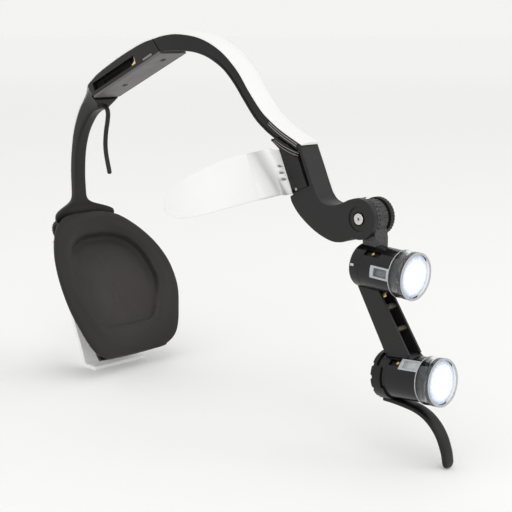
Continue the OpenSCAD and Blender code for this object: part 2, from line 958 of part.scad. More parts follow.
// Brass guide pins that show in the barrels' slots.
module focus_pins() {
    color("#b5892f")
        for (i = [0, 1])
            lamp_frame(i)
                for (a = [slot_ang, slot_ang + 180])
                    rotate([0, a, 0])
                        translate([0, 24.5, 11.05])
                            cylinder(r = 0.9, h = 1.35, $fn = 24);
}
module heat_sink(i) {
    color("#a8aaad")
        lamp_frame(i)
            rotate([-90, 0, 0])
                rotate_extrude($fn = 96)
                    polygon([
                        [0, 20.2], [11, 20.2], [11, 30.5], [8.6, 30.5], [8.6, 24],
                        [7.6, 24], [7.6, 35], [0, 35]]);
}

module led_module(i) {
    color("#e9e7dc")
        lamp_tube(i, 18.9, 20.15, 10, 0);
    color("#f3d34a")
        lamp_tube(i, 18, 18.95, 2.4, 0);
}

module reflector(i) {
    color("#dfe2e6")
        lamp_frame(i)
            translate([0, 18.8, 0])
                rotate([90, 0, 0])
                    rotate_extrude($fn = 96)
                        polygon(concat(
                            [for (k = [0 : 8]) [3.2 + 7 * sqrt(k / 8), 12.6 * k / 8]],
                            [for (k = [8 : -1 : 0]) [3.9 + 7 * sqrt(k / 8), 12.6 * k / 8]]));
}

module lamp_lens(i) {
    color("aliceblue")
        lamp_tube(i, 1.6, 3.4, 11.4, 0);
}

tab_hw = 3.4;
tab_r = ring_r + 0.5;

// Clear ring in front of a lamp, with two tabs back along the barrel at angle a.
module focus_ring(i, a) {
    color("gainsboro")
        union() {
            lamp_tube(i, 0, ring_y1, ring_r, 11.5);
            intersection() {
                lamp_tube(i, 8.6, 22, tab_r, lamp_r + 0.12);
                lamp_frame(i)
                    rotate([0, a, 0])
                        difference() {
                            translate([-tab_hw, 0, -20])
                                cube([2 * tab_hw, 30, 40]);
                            translate([-tab_hw + 1.1, ring_y1 + 1, -21])
                                cube([2 * tab_hw - 2.2, 22 - ring_y1 - 3.4, 42]);
                        }
            }
        }
}

bar_hw = 5.8;
bar_front = [[-241, 96], [-265.4, 60]];

module lamp_bar() {
    color("#2a2a2d")
        difference() {
            side(-bar_hw, bar_hw)
                polygon([[-226.6, 96], bar_front[0], bar_front[1], [-249, 57.6]]);
            // open front channel, crossed by two ribs
            difference() {
                side(-bar_hw + 1.5, bar_hw - 1.5)
                    polygon([[-232.5, 97], [-250, 97], [-276, 58], [-256.9, 58]]);
                for (t = [0.3, 0.62])
                    let (p = bar_front[0] + t * (bar_front[1] - bar_front[0]))
                        translate([-10, p[0] + 1.2, p[1] - 0.8])
                            rotate([-34, 0, 0])
                                cube([20, 20, 1.2]);
            }
            // notches in the ribs for the wires
            wire_room(0.2);
            lamp_tube(0, 0, 60, lamp_r + 0.05, 0);
            lamp_tube(1, 0, 33, lamp_r + 0.05, 0);
            lamp_tube(1, 32.9, 60, collar_r + 0.3, 0);
        }
}

module bar_wires() {
    color("#7a1f1f")
        wire_room(0);
}

// The two wires down the bar's channel, grown by g to each side.
module wire_room(g) {
    for (x = [-2.4, 1.2])
        side(x - g, x + 1.2 + g)
            polygon([
                [-237.6 + g, 89.6 + g], [-239 - g, 89.6 + g],
                [-247.4 - g, 76.9 - g], [-246 + g, 76.9 - g]]);
}

lever_t = 2.8;
lever_hw = 3.4;
lever_tip = [-289.4, lever_t / 2 + 0.05];
lever_pts = smooth([
    [-247, 31.2], [-253.5, 31], [-260.6, 30.4], [-268, 29.3], [-274.6, 26.9],
    [-280.4, 22.6], [-284.9, 16.8], [-288, 9.8], lever_tip
], 4);
collar_y = [33.5, 40];

module grip_lever() {
    color("#1b1b1e")
        difference() {
            union() {
                lamp_tube(1, collar_y[0], collar_y[1], collar_r, 0);
                side(-lever_hw, lever_hw)
                    polygon(strip(lever_pts, -lever_t / 2, lever_t / 2));
                bar_x(lever_tip[0], lever_tip[1], lever_t / 2 - 0.01, -lever_hw, lever_hw);
            }
            lamp_tube(1, 0, 60, lamp_r + 0.05, 0);
        }
}
module upper_body() { lamp_body(0); }
module upper_rear_cap() { rear_cap(0); }
module upper_heat_sink() { heat_sink(0); }
module upper_led() { led_module(0); }
module upper_reflector() { reflector(0); }
module upper_lens() { lamp_lens(0); }
module upper_ring() { focus_ring(0, -86); }
module lower_body() { lamp_body(1); }
module lower_rear_cap() { rear_cap(1); }
module lower_heat_sink() { heat_sink(1); }
module lower_led() { led_module(1); }
module lower_reflector() { reflector(1); }
module lower_lens() { lamp_lens(1); }
module lower_ring() { focus_ring(1, -44); }

band_shell();
rear_band();
front_band();
battery_housing();
housing_cover();
cover_screws();
driver_board();
battery_contacts();
power_ribbon();
adjust_rack();
rear_hook();
neck_bracket();
battery_cell();
battery_cap();
power_button();
back_shell();
pad_base();
neck_pad();
pad_screws();
pad_axle();
pad_knob();
arm_slider();
detent_pawl();
guide_pin();
forehead_plate();
wing_right();
wing_left();
plate_screws();
arm_body();
arm_cover();
arm_screws();
hinge_screw();
friction_washer();
tension_knob();
hinge_barrel();
barrel_bush();
lamp_bar();
bar_wires();
upper_body();
upper_rear_cap();
upper_heat_sink();
upper_led();
upper_reflector();
upper_lens();
upper_ring();
lower_body();
lower_rear_cap();
lower_heat_sink();
lower_led();
lower_reflector();
lower_lens();
lower_ring();
focus_pins();
grip_lever();
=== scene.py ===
import math

import bmesh
import bpy
import numpy as np
from mathutils import Matrix, Vector


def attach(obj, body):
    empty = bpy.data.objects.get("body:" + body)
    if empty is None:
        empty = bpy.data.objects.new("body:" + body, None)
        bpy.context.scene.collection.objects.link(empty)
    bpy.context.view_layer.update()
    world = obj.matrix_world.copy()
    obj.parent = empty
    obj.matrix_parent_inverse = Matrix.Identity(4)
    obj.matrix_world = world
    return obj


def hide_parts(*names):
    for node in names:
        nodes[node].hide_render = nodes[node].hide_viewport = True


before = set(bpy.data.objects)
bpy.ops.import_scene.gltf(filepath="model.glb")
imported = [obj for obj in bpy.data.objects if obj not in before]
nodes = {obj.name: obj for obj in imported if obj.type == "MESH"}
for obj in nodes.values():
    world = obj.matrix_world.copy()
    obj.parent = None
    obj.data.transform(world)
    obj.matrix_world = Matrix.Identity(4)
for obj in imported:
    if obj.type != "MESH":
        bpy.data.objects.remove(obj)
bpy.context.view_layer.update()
MM = 0.001


# ---------------------------------------------------------------- materials

def link(tree, a, b):
    tree.links.new(a, b)


def material(name, color, rough, metal=0.0, grain=None, vary=0.0, patch=60.0, coat=0.0,
             rough_vary=0.0, spec=None, sheen=0.0, transmission=0.0, ior=None, glow=0.0):
    """A Principled surface with patchy colour, patchy roughness and fine grain.
    grain is (scale per metre, bump strength, height in metres)."""
    m = bpy.data.materials.new(name)
    m.use_nodes = True
    t = m.node_tree
    b = t.nodes["Principled BSDF"]
    b.inputs["Base Color"].default_value = (*color, 1)
    b.inputs["Roughness"].default_value = rough
    b.inputs["Metallic"].default_value = metal
    b.inputs["Coat Weight"].default_value = coat
    b.inputs["Coat Roughness"].default_value = 0.12
    b.inputs["Sheen Weight"].default_value = sheen
    b.inputs["Transmission Weight"].default_value = transmission
    if spec is not None:
        b.inputs["Specular IOR Level"].default_value = spec
    if ior is not None:
        b.inputs["IOR"].default_value = ior
    if glow:
        b.inputs["Emission Color"].default_value = (1, 1, 1, 1)
        b.inputs["Emission Strength"].default_value = glow
    where = t.nodes.new("ShaderNodeTexCoord")
    if vary or rough_vary:
        n = t.nodes.new("ShaderNodeTexNoise")
        n.inputs["Scale"].default_value = patch
        n.inputs["Detail"].default_value = 5
        n.inputs["Roughness"].default_value = 0.6
        link(t, where.outputs["Object"], n.inputs["Vector"])
        if vary:
            mix = t.nodes.new("ShaderNodeMix")
            mix.data_type = "RGBA"
            mix.inputs["A"].default_value = (*[max(0, c * (1 - vary)) for c in color], 1)
            mix.inputs["B"].default_value = (*[min(1, c * (1 + vary)) for c in color], 1)
            link(t, n.outputs["Fac"], mix.inputs["Factor"])
            link(t, mix.outputs["Result"], b.inputs["Base Color"])
        if rough_vary:
            r = t.nodes.new("ShaderNodeMapRange")
            r.inputs["From Min"].default_value = 0.3
            r.inputs["From Max"].default_value = 0.7
            r.inputs["To Min"].default_value = max(0.02, rough - rough_vary)
            r.inputs["To Max"].default_value = min(1, rough + rough_vary)
            link(t, n.outputs["Fac"], r.inputs["Value"])
            link(t, r.outputs["Result"], b.inputs["Roughness"])
    if grain:
        g = t.nodes.new("ShaderNodeTexNoise")
        g.inputs["Scale"].default_value = grain[0]
        g.inputs["Detail"].default_value = 3
        link(t, where.outputs["Object"], g.inputs["Vector"])
        bump = t.nodes.new("ShaderNodeBump")
        bump.inputs["Strength"].default_value = grain[1]
        bump.inputs["Distance"].default_value = grain[2]
        link(t, g.outputs["Fac"], bump.inputs["Height"])
        link(t, bump.outputs["Normal"], b.inputs["Normal"])
    return m


def brushed(m, axis_scale, strength=0.25):
    """Adds fine turned or brushed lines to a metal, drawn out by axis_scale."""
    t = m.node_tree
    b = t.nodes["Principled BSDF"]
    where = t.nodes.new("ShaderNodeTexCoord")
    mp = t.nodes.new("ShaderNodeMapping")
    mp.inputs["Scale"].default_value = axis_scale
    n = t.nodes.new("ShaderNodeTexNoise")
    n.inputs["Scale"].default_value = 1
    n.inputs["Detail"].default_value = 4
    bump = t.nodes.new("ShaderNodeBump")
    bump.inputs["Strength"].default_value = strength
    bump.inputs["Distance"].default_value = 0.00004
    link(t, where.outputs["Object"], mp.inputs["Vector"])
    link(t, mp.outputs["Vector"], n.inputs["Vector"])
    link(t, n.outputs["Fac"], bump.inputs["Height"])
    link(t, bump.outputs["Normal"], b.inputs["Normal"])
    return m


def lamp_face(name, centre, glow):
    """A lit lens, white in the middle and blue-grey at its rim, with moulded pebbles."""
    m = material(name, (0.22, 0.24, 0.26), 0.16, grain=(420, 0.35, 0.0003))
    t = m.node_tree
    b = t.nodes["Principled BSDF"]
    b.inputs["Emission Strength"].default_value = glow
    where = t.nodes.new("ShaderNodeTexCoord")
    v = t.nodes.new("ShaderNodeTexVoronoi")
    v.inputs["Scale"].default_value = 620
    pebble = t.nodes.new("ShaderNodeValToRGB")
    pebble.color_ramp.elements[0].position = 0.1
    pebble.color_ramp.elements[0].color = (1, 1, 1, 1)
    pebble.color_ramp.elements[1].position = 0.8
    pebble.color_ramp.elements[1].color = (0.5, 0.58, 0.7, 1)
    mp = t.nodes.new("ShaderNodeMapping")
    mp.vector_type = "TEXTURE"
    mp.inputs["Location"].default_value = centre
    mp.inputs["Scale"].default_value = (0.013, 0.013, 0.013)
    ball = t.nodes.new("ShaderNodeTexGradient")
    ball.gradient_type = "SPHERICAL"
    fade = t.nodes.new("ShaderNodeValToRGB")
    fade.color_ramp.elements[0].position = 0.06
    fade.color_ramp.elements[0].color = (0.26, 0.31, 0.4, 1)
    fade.color_ramp.elements[1].position = 0.42
    fade.color_ramp.elements[1].color = (1, 1, 1, 1)
    mix = t.nodes.new("ShaderNodeMix")
    mix.data_type = "RGBA"
    mix.blend_type = "MULTIPLY"
    only = t.nodes.new("ShaderNodeMapRange")
    only.inputs["From Min"].default_value = 0.06
    only.inputs["From Max"].default_value = 0.45
    only.inputs["To Min"].default_value = 1
    only.inputs["To Max"].default_value = 0.2
    link(t, ball.outputs["Fac"], only.inputs["Value"])
    link(t, only.outputs["Result"], mix.inputs["Factor"])
    link(t, where.outputs["Object"], v.inputs["Vector"])
    link(t, v.outputs["Distance"], pebble.inputs["Fac"])
    link(t, where.outputs["Object"], mp.inputs["Vector"])
    link(t, mp.outputs["Vector"], ball.inputs["Vector"])
    link(t, ball.outputs["Fac"], fade.inputs["Fac"])
    link(t, fade.outputs["Color"], mix.inputs["A"])
    link(t, pebble.outputs["Color"], mix.inputs["B"])
    link(t, mix.outputs["Result"], b.inputs["Emission Color"])
    return m


def knurled(name, color):
    """Dark metal with a fine cross-hatched knurl."""
    m = material(name, color, 0.38, metal=0.75, vary=0.45, patch=420)
    t = m.node_tree
    b = t.nodes["Principled BSDF"]
    where = t.nodes.new("ShaderNodeTexCoord")
    v = t.nodes.new("ShaderNodeTexVoronoi")
    v.inputs["Scale"].default_value = 750
    bump = t.nodes.new("ShaderNodeBump")
    bump.inputs["Strength"].default_value = 0.9
    bump.inputs["Distance"].default_value = 0.0003
    link(t, where.outputs["Object"], v.inputs["Vector"])
    link(t, v.outputs["Distance"], bump.inputs["Height"])
    link(t, bump.outputs["Normal"], b.inputs["Normal"])
    return m


white = material("white_gloss", (0.85, 0.85, 0.845), 0.24, grain=(260, 0.03, 0.0002),
                 vary=0.02, rough_vary=0.06, coat=0.25)
white_satin = material("white_satin", (0.83, 0.83, 0.825), 0.36, grain=(1400, 0.08, 0.00006),
                       vary=0.02, rough_vary=0.06)
# white_satin painted paler: painted light for the back shell's side that faces away from the lamps
white_satin_painted_lit = material("white_satin_painted_lit", (0.93, 0.93, 0.925), 0.4, grain=(1400, 0.08, 0.00006),
                       vary=0.02, rough_vary=0.06)
gloss_black = material("gloss_black", (0.0065, 0.006, 0.0062), 0.17, grain=(500, 0.04, 0.0001),
                       vary=0.25, rough_vary=0.06, spec=0.32)
satin_black = material("satin_black", (0.013, 0.0118, 0.0112), 0.4, grain=(2600, 0.22, 0.00006),
                       vary=0.3, patch=45, rough_vary=0.09, spec=0.3)
arm_black = material("arm_black", (0.0135, 0.0125, 0.0125), 0.38, grain=(3200, 0.3, 0.00005),
                     vary=0.25, patch=90, rough_vary=0.08, spec=0.3)
cover_grey = material("cover_grey", (0.115, 0.11, 0.106), 0.46, grain=(3000, 0.35, 0.00006),
                      vary=0.2, patch=40, rough_vary=0.1, spec=0.4)
foam_black = material("foam_black", (0.0135, 0.0118, 0.0113), 0.55, grain=(5200, 0.5, 0.00009),
                      vary=0.22, patch=28, rough_vary=0.08, sheen=0.05, spec=0.3)
battery_black = material("battery_black", (0.0009, 0.0009, 0.001), 0.6, grain=(1500, 0.1, 0.00005),
                         vary=0.2, rough_vary=0.05, spec=0.08)
battery_wrap = material("battery_wrap", (0.03, 0.05, 0.11), 0.3, grain=(700, 0.15, 0.00008),
                        vary=0.2, rough_vary=0.06)
# pale brown-grey: partly the button's own colour, partly painted highlight for the thin glint along
# it
button_grey = material("button_grey", (0.2, 0.17, 0.15), 0.4, grain=(2500, 0.15, 0.00005),
                       vary=0.12, patch=400, rough_vary=0.06)
rack_grey = material("rack_grey", (0.035, 0.034, 0.033), 0.36, metal=0.3,
                     grain=(2500, 0.2, 0.00005), vary=0.2, patch=300, rough_vary=0.08)
# light grey for thin tubes that are painted highlights on edges
painted_glint_grey = material("painted_glint_grey", (0.36, 0.34, 0.32), 0.3, grain=(2500, 0.1, 0.00003), vary=0.1,
                     patch=300, rough_vary=0.05)
steel = brushed(material("steel", (0.62, 0.62, 0.62), 0.24, metal=1, vary=0.08, patch=300,
                         rough_vary=0.06), (6000, 300, 300))
dark_steel = brushed(material("dark_steel", (0.012, 0.012, 0.013), 0.36, metal=0.6, vary=0.15,
                              rough_vary=0.06), (5000, 400, 400))
brass = material("brass", (0.66, 0.45, 0.17), 0.26, metal=1, grain=(1800, 0.1, 0.00004),
                 vary=0.15, patch=300, rough_vary=0.08)
gold = material("gold", (0.85, 0.62, 0.3), 0.24, metal=1, grain=(1500, 0.1, 0.00004),
                vary=0.12, patch=300, rough_vary=0.07)
board_green = material("board_green", (0.012, 0.08, 0.03), 0.35, grain=(900, 0.2, 0.00005),
                       vary=0.3, patch=500, rough_vary=0.1)
ribbon_amber = material("ribbon_amber", (0.4, 0.18, 0.03), 0.3, grain=(800, 0.1, 0.00004),
                        vary=0.15, rough_vary=0.05)
anodised = brushed(material("anodised", (0.0055, 0.005, 0.0053), 0.22, metal=0.1, vary=0.2,
                            patch=70, rough_vary=0.06, spec=0.4), (500, 9000, 500), 0.12)
lever_black = material("lever_black", (0.007, 0.0065, 0.0063), 0.36, grain=(3200, 0.3, 0.00005),
                       vary=0.25, patch=90, rough_vary=0.08, spec=0.3)
knurl_grey = knurled("knurl_grey", (0.07, 0.07, 0.07))
emitter = material("emitter", (0.9, 0.89, 0.83), 0.4, grain=(900, 0.1, 0.00005), vary=0.04,
                   rough_vary=0.05, glow=1.2)
mirror = material("mirror_bowl", (0.92, 0.93, 0.95), 0.06, metal=1, grain=(600, 0.05, 0.00005),
                  vary=0.02, rough_vary=0.03)
clear = material("clear_plastic", (0.96, 0.97, 0.98), 0.03, grain=(180, 0.04, 0.0002),
                 vary=0.02, rough_vary=0.03, transmission=1.0, ior=1.46)
frosted = material("frosted_edge", (0.62, 0.64, 0.66), 0.32, grain=(900, 0.2, 0.00005),
                   vary=0.08, patch=300, rough_vary=0.08, transmission=0.35, ior=1.49)
pane_grey = material("pane_grey", (0.2, 0.2, 0.2), 0.25, grain=(900, 0.15, 0.00005), vary=0.1,
                     patch=300, rough_vary=0.06, transmission=0.3, ior=1.49)
wire_red = material("wire_red", (0.2, 0.012, 0.01), 0.42, grain=(900, 0.15, 0.00005), vary=0.2,
                    rough_vary=0.06)
olive = material("olive_rib", (0.05, 0.042, 0.026), 0.4, grain=(1500, 0.25, 0.00005), vary=0.25,
                 patch=300, rough_vary=0.1)
fibre = material("fibre", (0.008, 0.008, 0.008), 0.7, grain=(3000, 0.4, 0.00006), vary=0.3,
                 rough_vary=0.08)
red_dot = material("red_dot", (0.25, 0.015, 0.01), 0.3, grain=(1500, 0.1, 0.00004), vary=0.2,
                   rough_vary=0.05)


def tint_round_spot(m, centre, size, color):
    """Blends a material softly towards one colour round one place: painted light on the forehead
    plate and the floor, and a lighter middle on the pad's panel.
    """
    t = m.node_tree
    b = t.nodes["Principled BSDF"]
    old = b.inputs["Base Color"].links[0].from_socket
    where = t.nodes.new("ShaderNodeTexCoord")
    mp = t.nodes.new("ShaderNodeMapping")
    mp.vector_type = "TEXTURE"
    mp.inputs["Location"].default_value = centre
    mp.inputs["Scale"].default_value = (size, size, size)
    ball = t.nodes.new("ShaderNodeTexGradient")
    ball.gradient_type = "SPHERICAL"
    ramp = t.nodes.new("ShaderNodeMapRange")
    ramp.interpolation_type = "SMOOTHSTEP"
    ramp.inputs["From Max"].default_value = 0.7
    mix = t.nodes.new("ShaderNodeMix")
    mix.data_type = "RGBA"
    mix.inputs["B"].default_value = (*color, 1)
    link(t, where.outputs["Object"], mp.inputs["Vector"])
    link(t, mp.outputs["Vector"], ball.inputs["Vector"])
    link(t, ball.outputs["Fac"], ramp.inputs["Value"])
    link(t, ramp.outputs["Result"], mix.inputs["Factor"])
    link(t, old, mix.inputs["A"])
    link(t, mix.outputs["Result"], b.inputs["Base Color"])


# ---------------------------------------------------------------- mesh helpers

def smooth_line(pts, n):
    """Catmull-Rom curve through rows of numbers, n steps in each span."""
    p = np.array(pts, float)
    out = []
    for i in range(len(p) - 1):
        a, b, c, d = p[max(i - 1, 0)], p[i], p[i + 1], p[min(i + 2, len(p) - 1)]
        for k in range(n):
            t = k / n
            out.append(0.5 * (2 * b + (c - a) * t + (2 * a - 5 * b + 4 * c - d) * t * t
                              + (3 * b - a - 3 * c + d) * t ** 3))
    out.append(p[-1])
    return np.array(out)


def lookup(x, table):
    xs, ys = zip(*sorted(table))
    return float(np.interp(x, xs, ys))


def ease(x, a, b):
    t = min(1.0, max(0.0, (x - a) / (b - a)))
    return t * t * (3 - 2 * t)


def made(name, verts, faces, body, mat, replaces=()):
    """A smooth mesh from points in millimetres, riding on a body."""
    me = bpy.data.meshes.new(name)
    me.from_pydata([tuple(float(c) * MM for c in v) for v in verts], [], faces)
    me.update()
    bm = bmesh.new()
    bm.from_mesh(me)
    bmesh.ops.recalc_face_normals(bm, faces=bm.faces)
    bm.to_mesh(me)
    bm.free()
    for p in me.polygons:
        p.use_smooth = True
    me.materials.append(mat)
    ob = bpy.data.objects.new(name, me)
    bpy.context.scene.collection.objects.link(ob)
    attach(ob, body)
    if replaces:
        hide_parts(*replaces)
    return ob


def loft_faces(rows, cols, first=True, last=True, base=0):
    """Faces of a tube of closed rings, with its ends filled."""
    f = []
    for i in range(rows - 1):
        for k in range(cols):
            a, b = base + i * cols + k, base + i * cols + (k + 1) % cols
            f.append((a, a + cols, b + cols, b))
    if first:
        f.append(tuple(base + k for k in range(cols)))
    if last:
        f.append(tuple(base + (rows - 1) * cols + k for k in reversed(range(cols))))
    return f


def loft(name, rings, body, mat, replaces=()):
    verts = [v for r in rings for v in r]
    return made(name, verts, loft_faces(len(rings), len(rings[0])), body, mat, replaces)


def lathe(profile, place, n=72):
    """Points and faces of (radius, y) turned about the lamp's own Y axis."""
    verts, faces = [], []
    m = len(profile)
    for k in range(n):
        a = 2 * math.pi * k / n
        for r, y in profile:
            verts.append(place @ Vector((r * math.sin(a), y, r * math.cos(a))))
    for k in range(n):
        for i in range(m - 1):
            a, b = k * m + i, ((k + 1) % n) * m + i
            faces.append((a, b, b + 1, a + 1))
    return verts, faces


def soften(ob, width, segments=2, angle=32, weld=False):
    """Rounds every sharp edge a little and evens the shading."""
    if weld:
        w = ob.modifiers.new("weld", "WELD")
        w.merge_threshold = 0.000004
    b = ob.modifiers.new("edges", "BEVEL")
    b.width = width * MM
    b.segments = segments
    b.limit_method = "ANGLE"
    b.angle_limit = math.radians(angle)
    b.use_clamp_overlap = True
    b.harden_normals = True
    n = ob.modifiers.new("normals", "WEIGHTED_NORMAL")
    n.keep_sharp = False
    n.weight = 60
    return ob


def dress(node, mat, width=0.0, segments=2, angle=32):
    """A CAD node keeps its shape and gets a finish and eased edges."""
    ob = nodes[node]
    for s in ob.material_slots:
        s.material = mat
    if not ob.material_slots:
        ob.data.materials.append(mat)
    if width:
        soften(ob, width, segments, angle, weld=True)
    return ob


def rounded(n, power):
    """Unit points round a squarish ring: (across, through)."""
    out = []
    for k in range(n):
        a = 2 * math.pi * (k + 0.5) / n
        c, s = math.cos(a), math.sin(a)
        out.append((math.copysign(abs(c) ** (2 / power), c),
                    math.copysign(abs(s) ** (2 / power), s)))
    return out


# ---------------------------------------------------------------- headband

band_pts = [
    (43.6, 104), (44.5, 128), (43.2, 148), (39.2, 166), (32.5, 180), (26, 187.4),
    (16.6, 194.8), (7.2, 201.8), (-2.4, 207.8), (-24, 218), (-45.7, 226.6),
    (-58, 229.9), (-70, 232.4), (-83.5, 233), (-101.4, 230.3), (-118.2, 223),
    (-132.1, 211.8), (-142.1, 199.6), (-151.8, 189), (-159.7, 183), (-170, 177), (-185.6, 170)]
FINE = 7
band = smooth_line(band_pts, FINE)
tangent = np.gradient(band, axis=0)
tangent /= np.linalg.norm(tangent, axis=1)[:, None]
outward = np.stack([tangent[:, 1], -tangent[:, 0]], axis=1)

plan_half = [(60, 11.5), (-30, 11.5), (-44, 11.4), (-58, 11.2), (-75, 10.2), (-92, 9), (-108, 8.2),
             (-125, 7.6), (-138, 7.3), (-150, 7.1), (-165, 7), (-200, 7)]
neck_half = [(0, 4.5), (100, 4.5), (103, 4.9), (106, 5.4), (109, 6.1), (112, 7), (117, 9.2),
             (119.5, 10.4), (121.6, 11.3), (126, 13), (400, 13.5)]
FLARE = math.radians(48.6)


def half_at(p):
    flare = p[1] * math.cos(FLARE) - p[0] * math.sin(FLARE)
    return min(lookup(p[0], plan_half), lookup(flare, neck_half))


crown = [(0, 1.8), (5, 2.4), (12, 3), (17, 2.4), (21, 2)]
over = [(0, -0.6), (6, -0.3), (9, 0.5), (21, 0.5)]


def shell_ring(i):
    u = i / FINE
    w = half_at(band[i]) + lookup(u, over)
    rise = lookup(u, crown) - 1
    row = [(-w + 0.4, 0.06), (-w + 0.02, 0.1), (-w, 0.45), (-w + 0.08, 0.8)]
    for k in range(1, 12):
        a = math.pi * (1 - k / 12)
        row.append((w * math.cos(a), 1 + rise * math.sin(a) ** 2))
    row += [(w - 0.08, 0.8), (w, 0.45), (w - 0.02, 0.1), (w - 0.4, 0.06)]
    return [(x, band[i][0] + d * outward[i][0], band[i][1] + d * outward[i][1]) for x, d in row]


shell = loft("shell_skin", [shell_ring(i) for i in range(len(band))], "headband", white,
             ("band_shell",))
soften(shell, 0.3, 3, 50)

# front rail: rounded top edge, a groove low on each side and a thin rim under it
rail_in = smooth_line([
    (-65.2, 222.2), (-76, 222.8), (-90.5, 222.6), (-100.4, 221), (-109.2, 218),
    (-120.1, 211.9), (-129.1, 203.5), (-137.1, 194), (-146.3, 183.7), (-154.3, 177.6),
    (-162.6, 172.9), (-180.34, 164.62)], FINE)
seam = 11 * FINE
rail_out = np.array(list(band[seam:-FINE]) + [(-172.5, 175.87), (-176, 174.3), (-180, 172.5),
                                             (-183.23, 171.06)])


def along(line, t):
    """Point a fraction t of the length along a line."""
    step = np.linalg.norm(np.diff(line, axis=0), axis=1)
    s = np.concatenate([[0], np.cumsum(step)])
    return np.array([np.interp(t * s[-1], s, line[:, 0]), np.interp(t * s[-1], s, line[:, 1])])


rail_side = [(0.0, -0.3), (0.035, -0.04), (0.08, 0.0), (0.58, 0.0), (0.62, -0.16), (0.65, -0.75),
             (0.79, -0.75), (0.82, -0.12), (0.86, -0.04), (0.94, -0.04), (0.98, -0.2), (1.0, -0.5)]
RAIL_ROWS = 96
RAIL_START = 0.004
GROOVE_FROM, GROOVE_FULL = 92, 122
rings = []
for k in range(RAIL_ROWS + 1):
    t = RAIL_START + (1 - RAIL_START) * k / RAIL_ROWS
    a, b = along(rail_out, t), along(rail_in, t)
    w = half_at(a)
    cut = ease(-a[0], GROOVE_FROM, GROOVE_FULL)
    row = []
    for f, dx in rail_side:
        deep = dx if f < 0.6 or f > 0.95 else dx * cut
        p = a + (b - a) * f
        row.append((w + deep, p[0], p[1]))
    rings.append([(-x, y, z) for x, y, z in row] + row[::-1])
rail = loft("front_rail", rings, "headband", gloss_black, ("front_band",))
soften(rail, 0.12, 2, 40)

# neck: one moulding from the housing down to the fan over the pad
neck_rows = smooth_line([
    # front y, z, back y, z, half width front, back
    (40.9, 97.6, 42.9, 97.6, 11, 11), (40.6, 98.8, 43.3, 98.8, 17, 17),
    (40.4, 100.4, 43.45, 100.4, 22.5, 22.5), (40.3, 102.2, 43.5, 102.2, 25.3, 25.3),
    (40.3, 104.4, 43.5, 104.4, 25.8, 25.8), (40.3, 106.6, 43.5, 106.6, 25.2, 25.2),
    (40.2, 108.4, 43.5, 108.4, 22.4, 22.4), (40, 110, 43.5, 110, 18, 18),
    (39.7, 111.4, 43.6, 111.4, 13.6, 13.6), (39.3, 112.8, 43.65, 112.8, 10, 10),
    (38.9, 114.6, 43.75, 114.6, 7.2, 7.2), (38.5, 117, 43.9, 117, 5.6, 5.6),
    (38.2, 120.5, 44.15, 120.5, 4.9, 4.9), (38.1, 126, 44.4, 126, 4.7, 4.7),
    (38.15, 134, 44.4, 136, 4.7, 4.7), (36.4, 150, 43, 149.6, 4.7, 4.7),
    (31.3, 164, 39.3, 165.9, 4.7, 4.7), (22.9, 175, 32.6, 180, 4.7, 4.7),
    (16.6, 179.6, 25.9, 187.5, 4.8, 5.4), (12.3, 181.2, 20, 192.1, 4.9, 7.2),
    (9.6, 182.2, 16.2, 195, 5.2, 9), (7.9, 184, 13.6, 196.9, 6.2, 10.3),
    (6.7, 186.6, 11.9, 197.6, 9, 10.9), (6.2, 188.7, 11, 197.2, 11.2, 11.2)], 4)
# a thin dark gap under the housing, then the root inside it
neck_rows = np.vstack([neck_rows, [(7.4, 188.8, 10.9, 196.6, 10, 10.6),
                                   (7.6, 190, 10.3, 196, 9.8, 10.4)]])
FAN_R = 46
shape = rounded(40, 6)
rings = []
for fy, fz, by, bz, wf, wb in neck_rows:
    row = []
    for cx, ct in shape:
        x = cx * (wf + (wb - wf) * (ct + 1) / 2)
        sag = FAN_R - math.sqrt(FAN_R * FAN_R - x * x)
        y = (fy + by) / 2 + (by - fy) / 2 * ct - sag * ease(fz, 140, 118)
        row.append((x, y, (fz + bz) / 2 + (bz - fz) / 2 * ct))
    rings.append(row)
loft("neck_skin", rings, "headband", satin_black, ("rear_band", "neck_bracket"))

# the bracket's barrel, which the neck rest turns on
PIVOT = (38.0, 95.5)
barrel = []
for x, r in [(-7.7, 2.6), (-7.7, 4.1), (-7.2, 4.6), (-4, 4.6), (-3.6, 4.35), (3.6, 4.35), (4, 4.6),
             (7.2, 4.6), (7.7, 4.1), (7.7, 2.6), (-7.7, 2.6)]:
    barrel.append([(x, PIVOT[0] + r * math.cos(2 * math.pi * k / 48),
                    PIVOT[1] + r * math.sin(2 * math.pi * k / 48)) for k in range(48)])
made("rest_barrel", [v for r in barrel for v in r], loft_faces(len(barrel), 48, False, False),
     "headband", satin_black)

hook_line = smooth_line([
    (11.5, 184.6), (8.2, 184.2), (5.4, 182), (4.5, 178.3), (5.4, 173), (6.8, 168), (7.9, 162),
    (8.3, 156.5), (7.8, 151), (6.5, 145.5), (5.1, 140.6), (4.5, 138.2), (4.3, 137.4),
    (4.2, 136.8)], 5)
hook_dir = np.gradient(hook_line, axis=0)
hook_dir /= np.linalg.norm(hook_dir, axis=1)[:, None]
HOOK_HALF = 1.48
HOOK_TIP = 9
rings = []
for i, p in enumerate(hook_line):
    last = len(hook_line) - 1 - i
    size = HOOK_HALF * math.sqrt(max(0.04, 1 - max(0, (HOOK_TIP - last) / HOOK_TIP) ** 2))
    wide, thick = size * 1.05, size * 0.97
    nrm = (hook_dir[i][1], -hook_dir[i][0])
    rings.append([(wide * cx, p[0] + thick * ct * nrm[0], p[1] + thick * ct * nrm[1])
                  for cx, ct in rounded(20, 2.4)])
loft("hook_skin", rings, "headband", satin_black, ("rear_hook",))

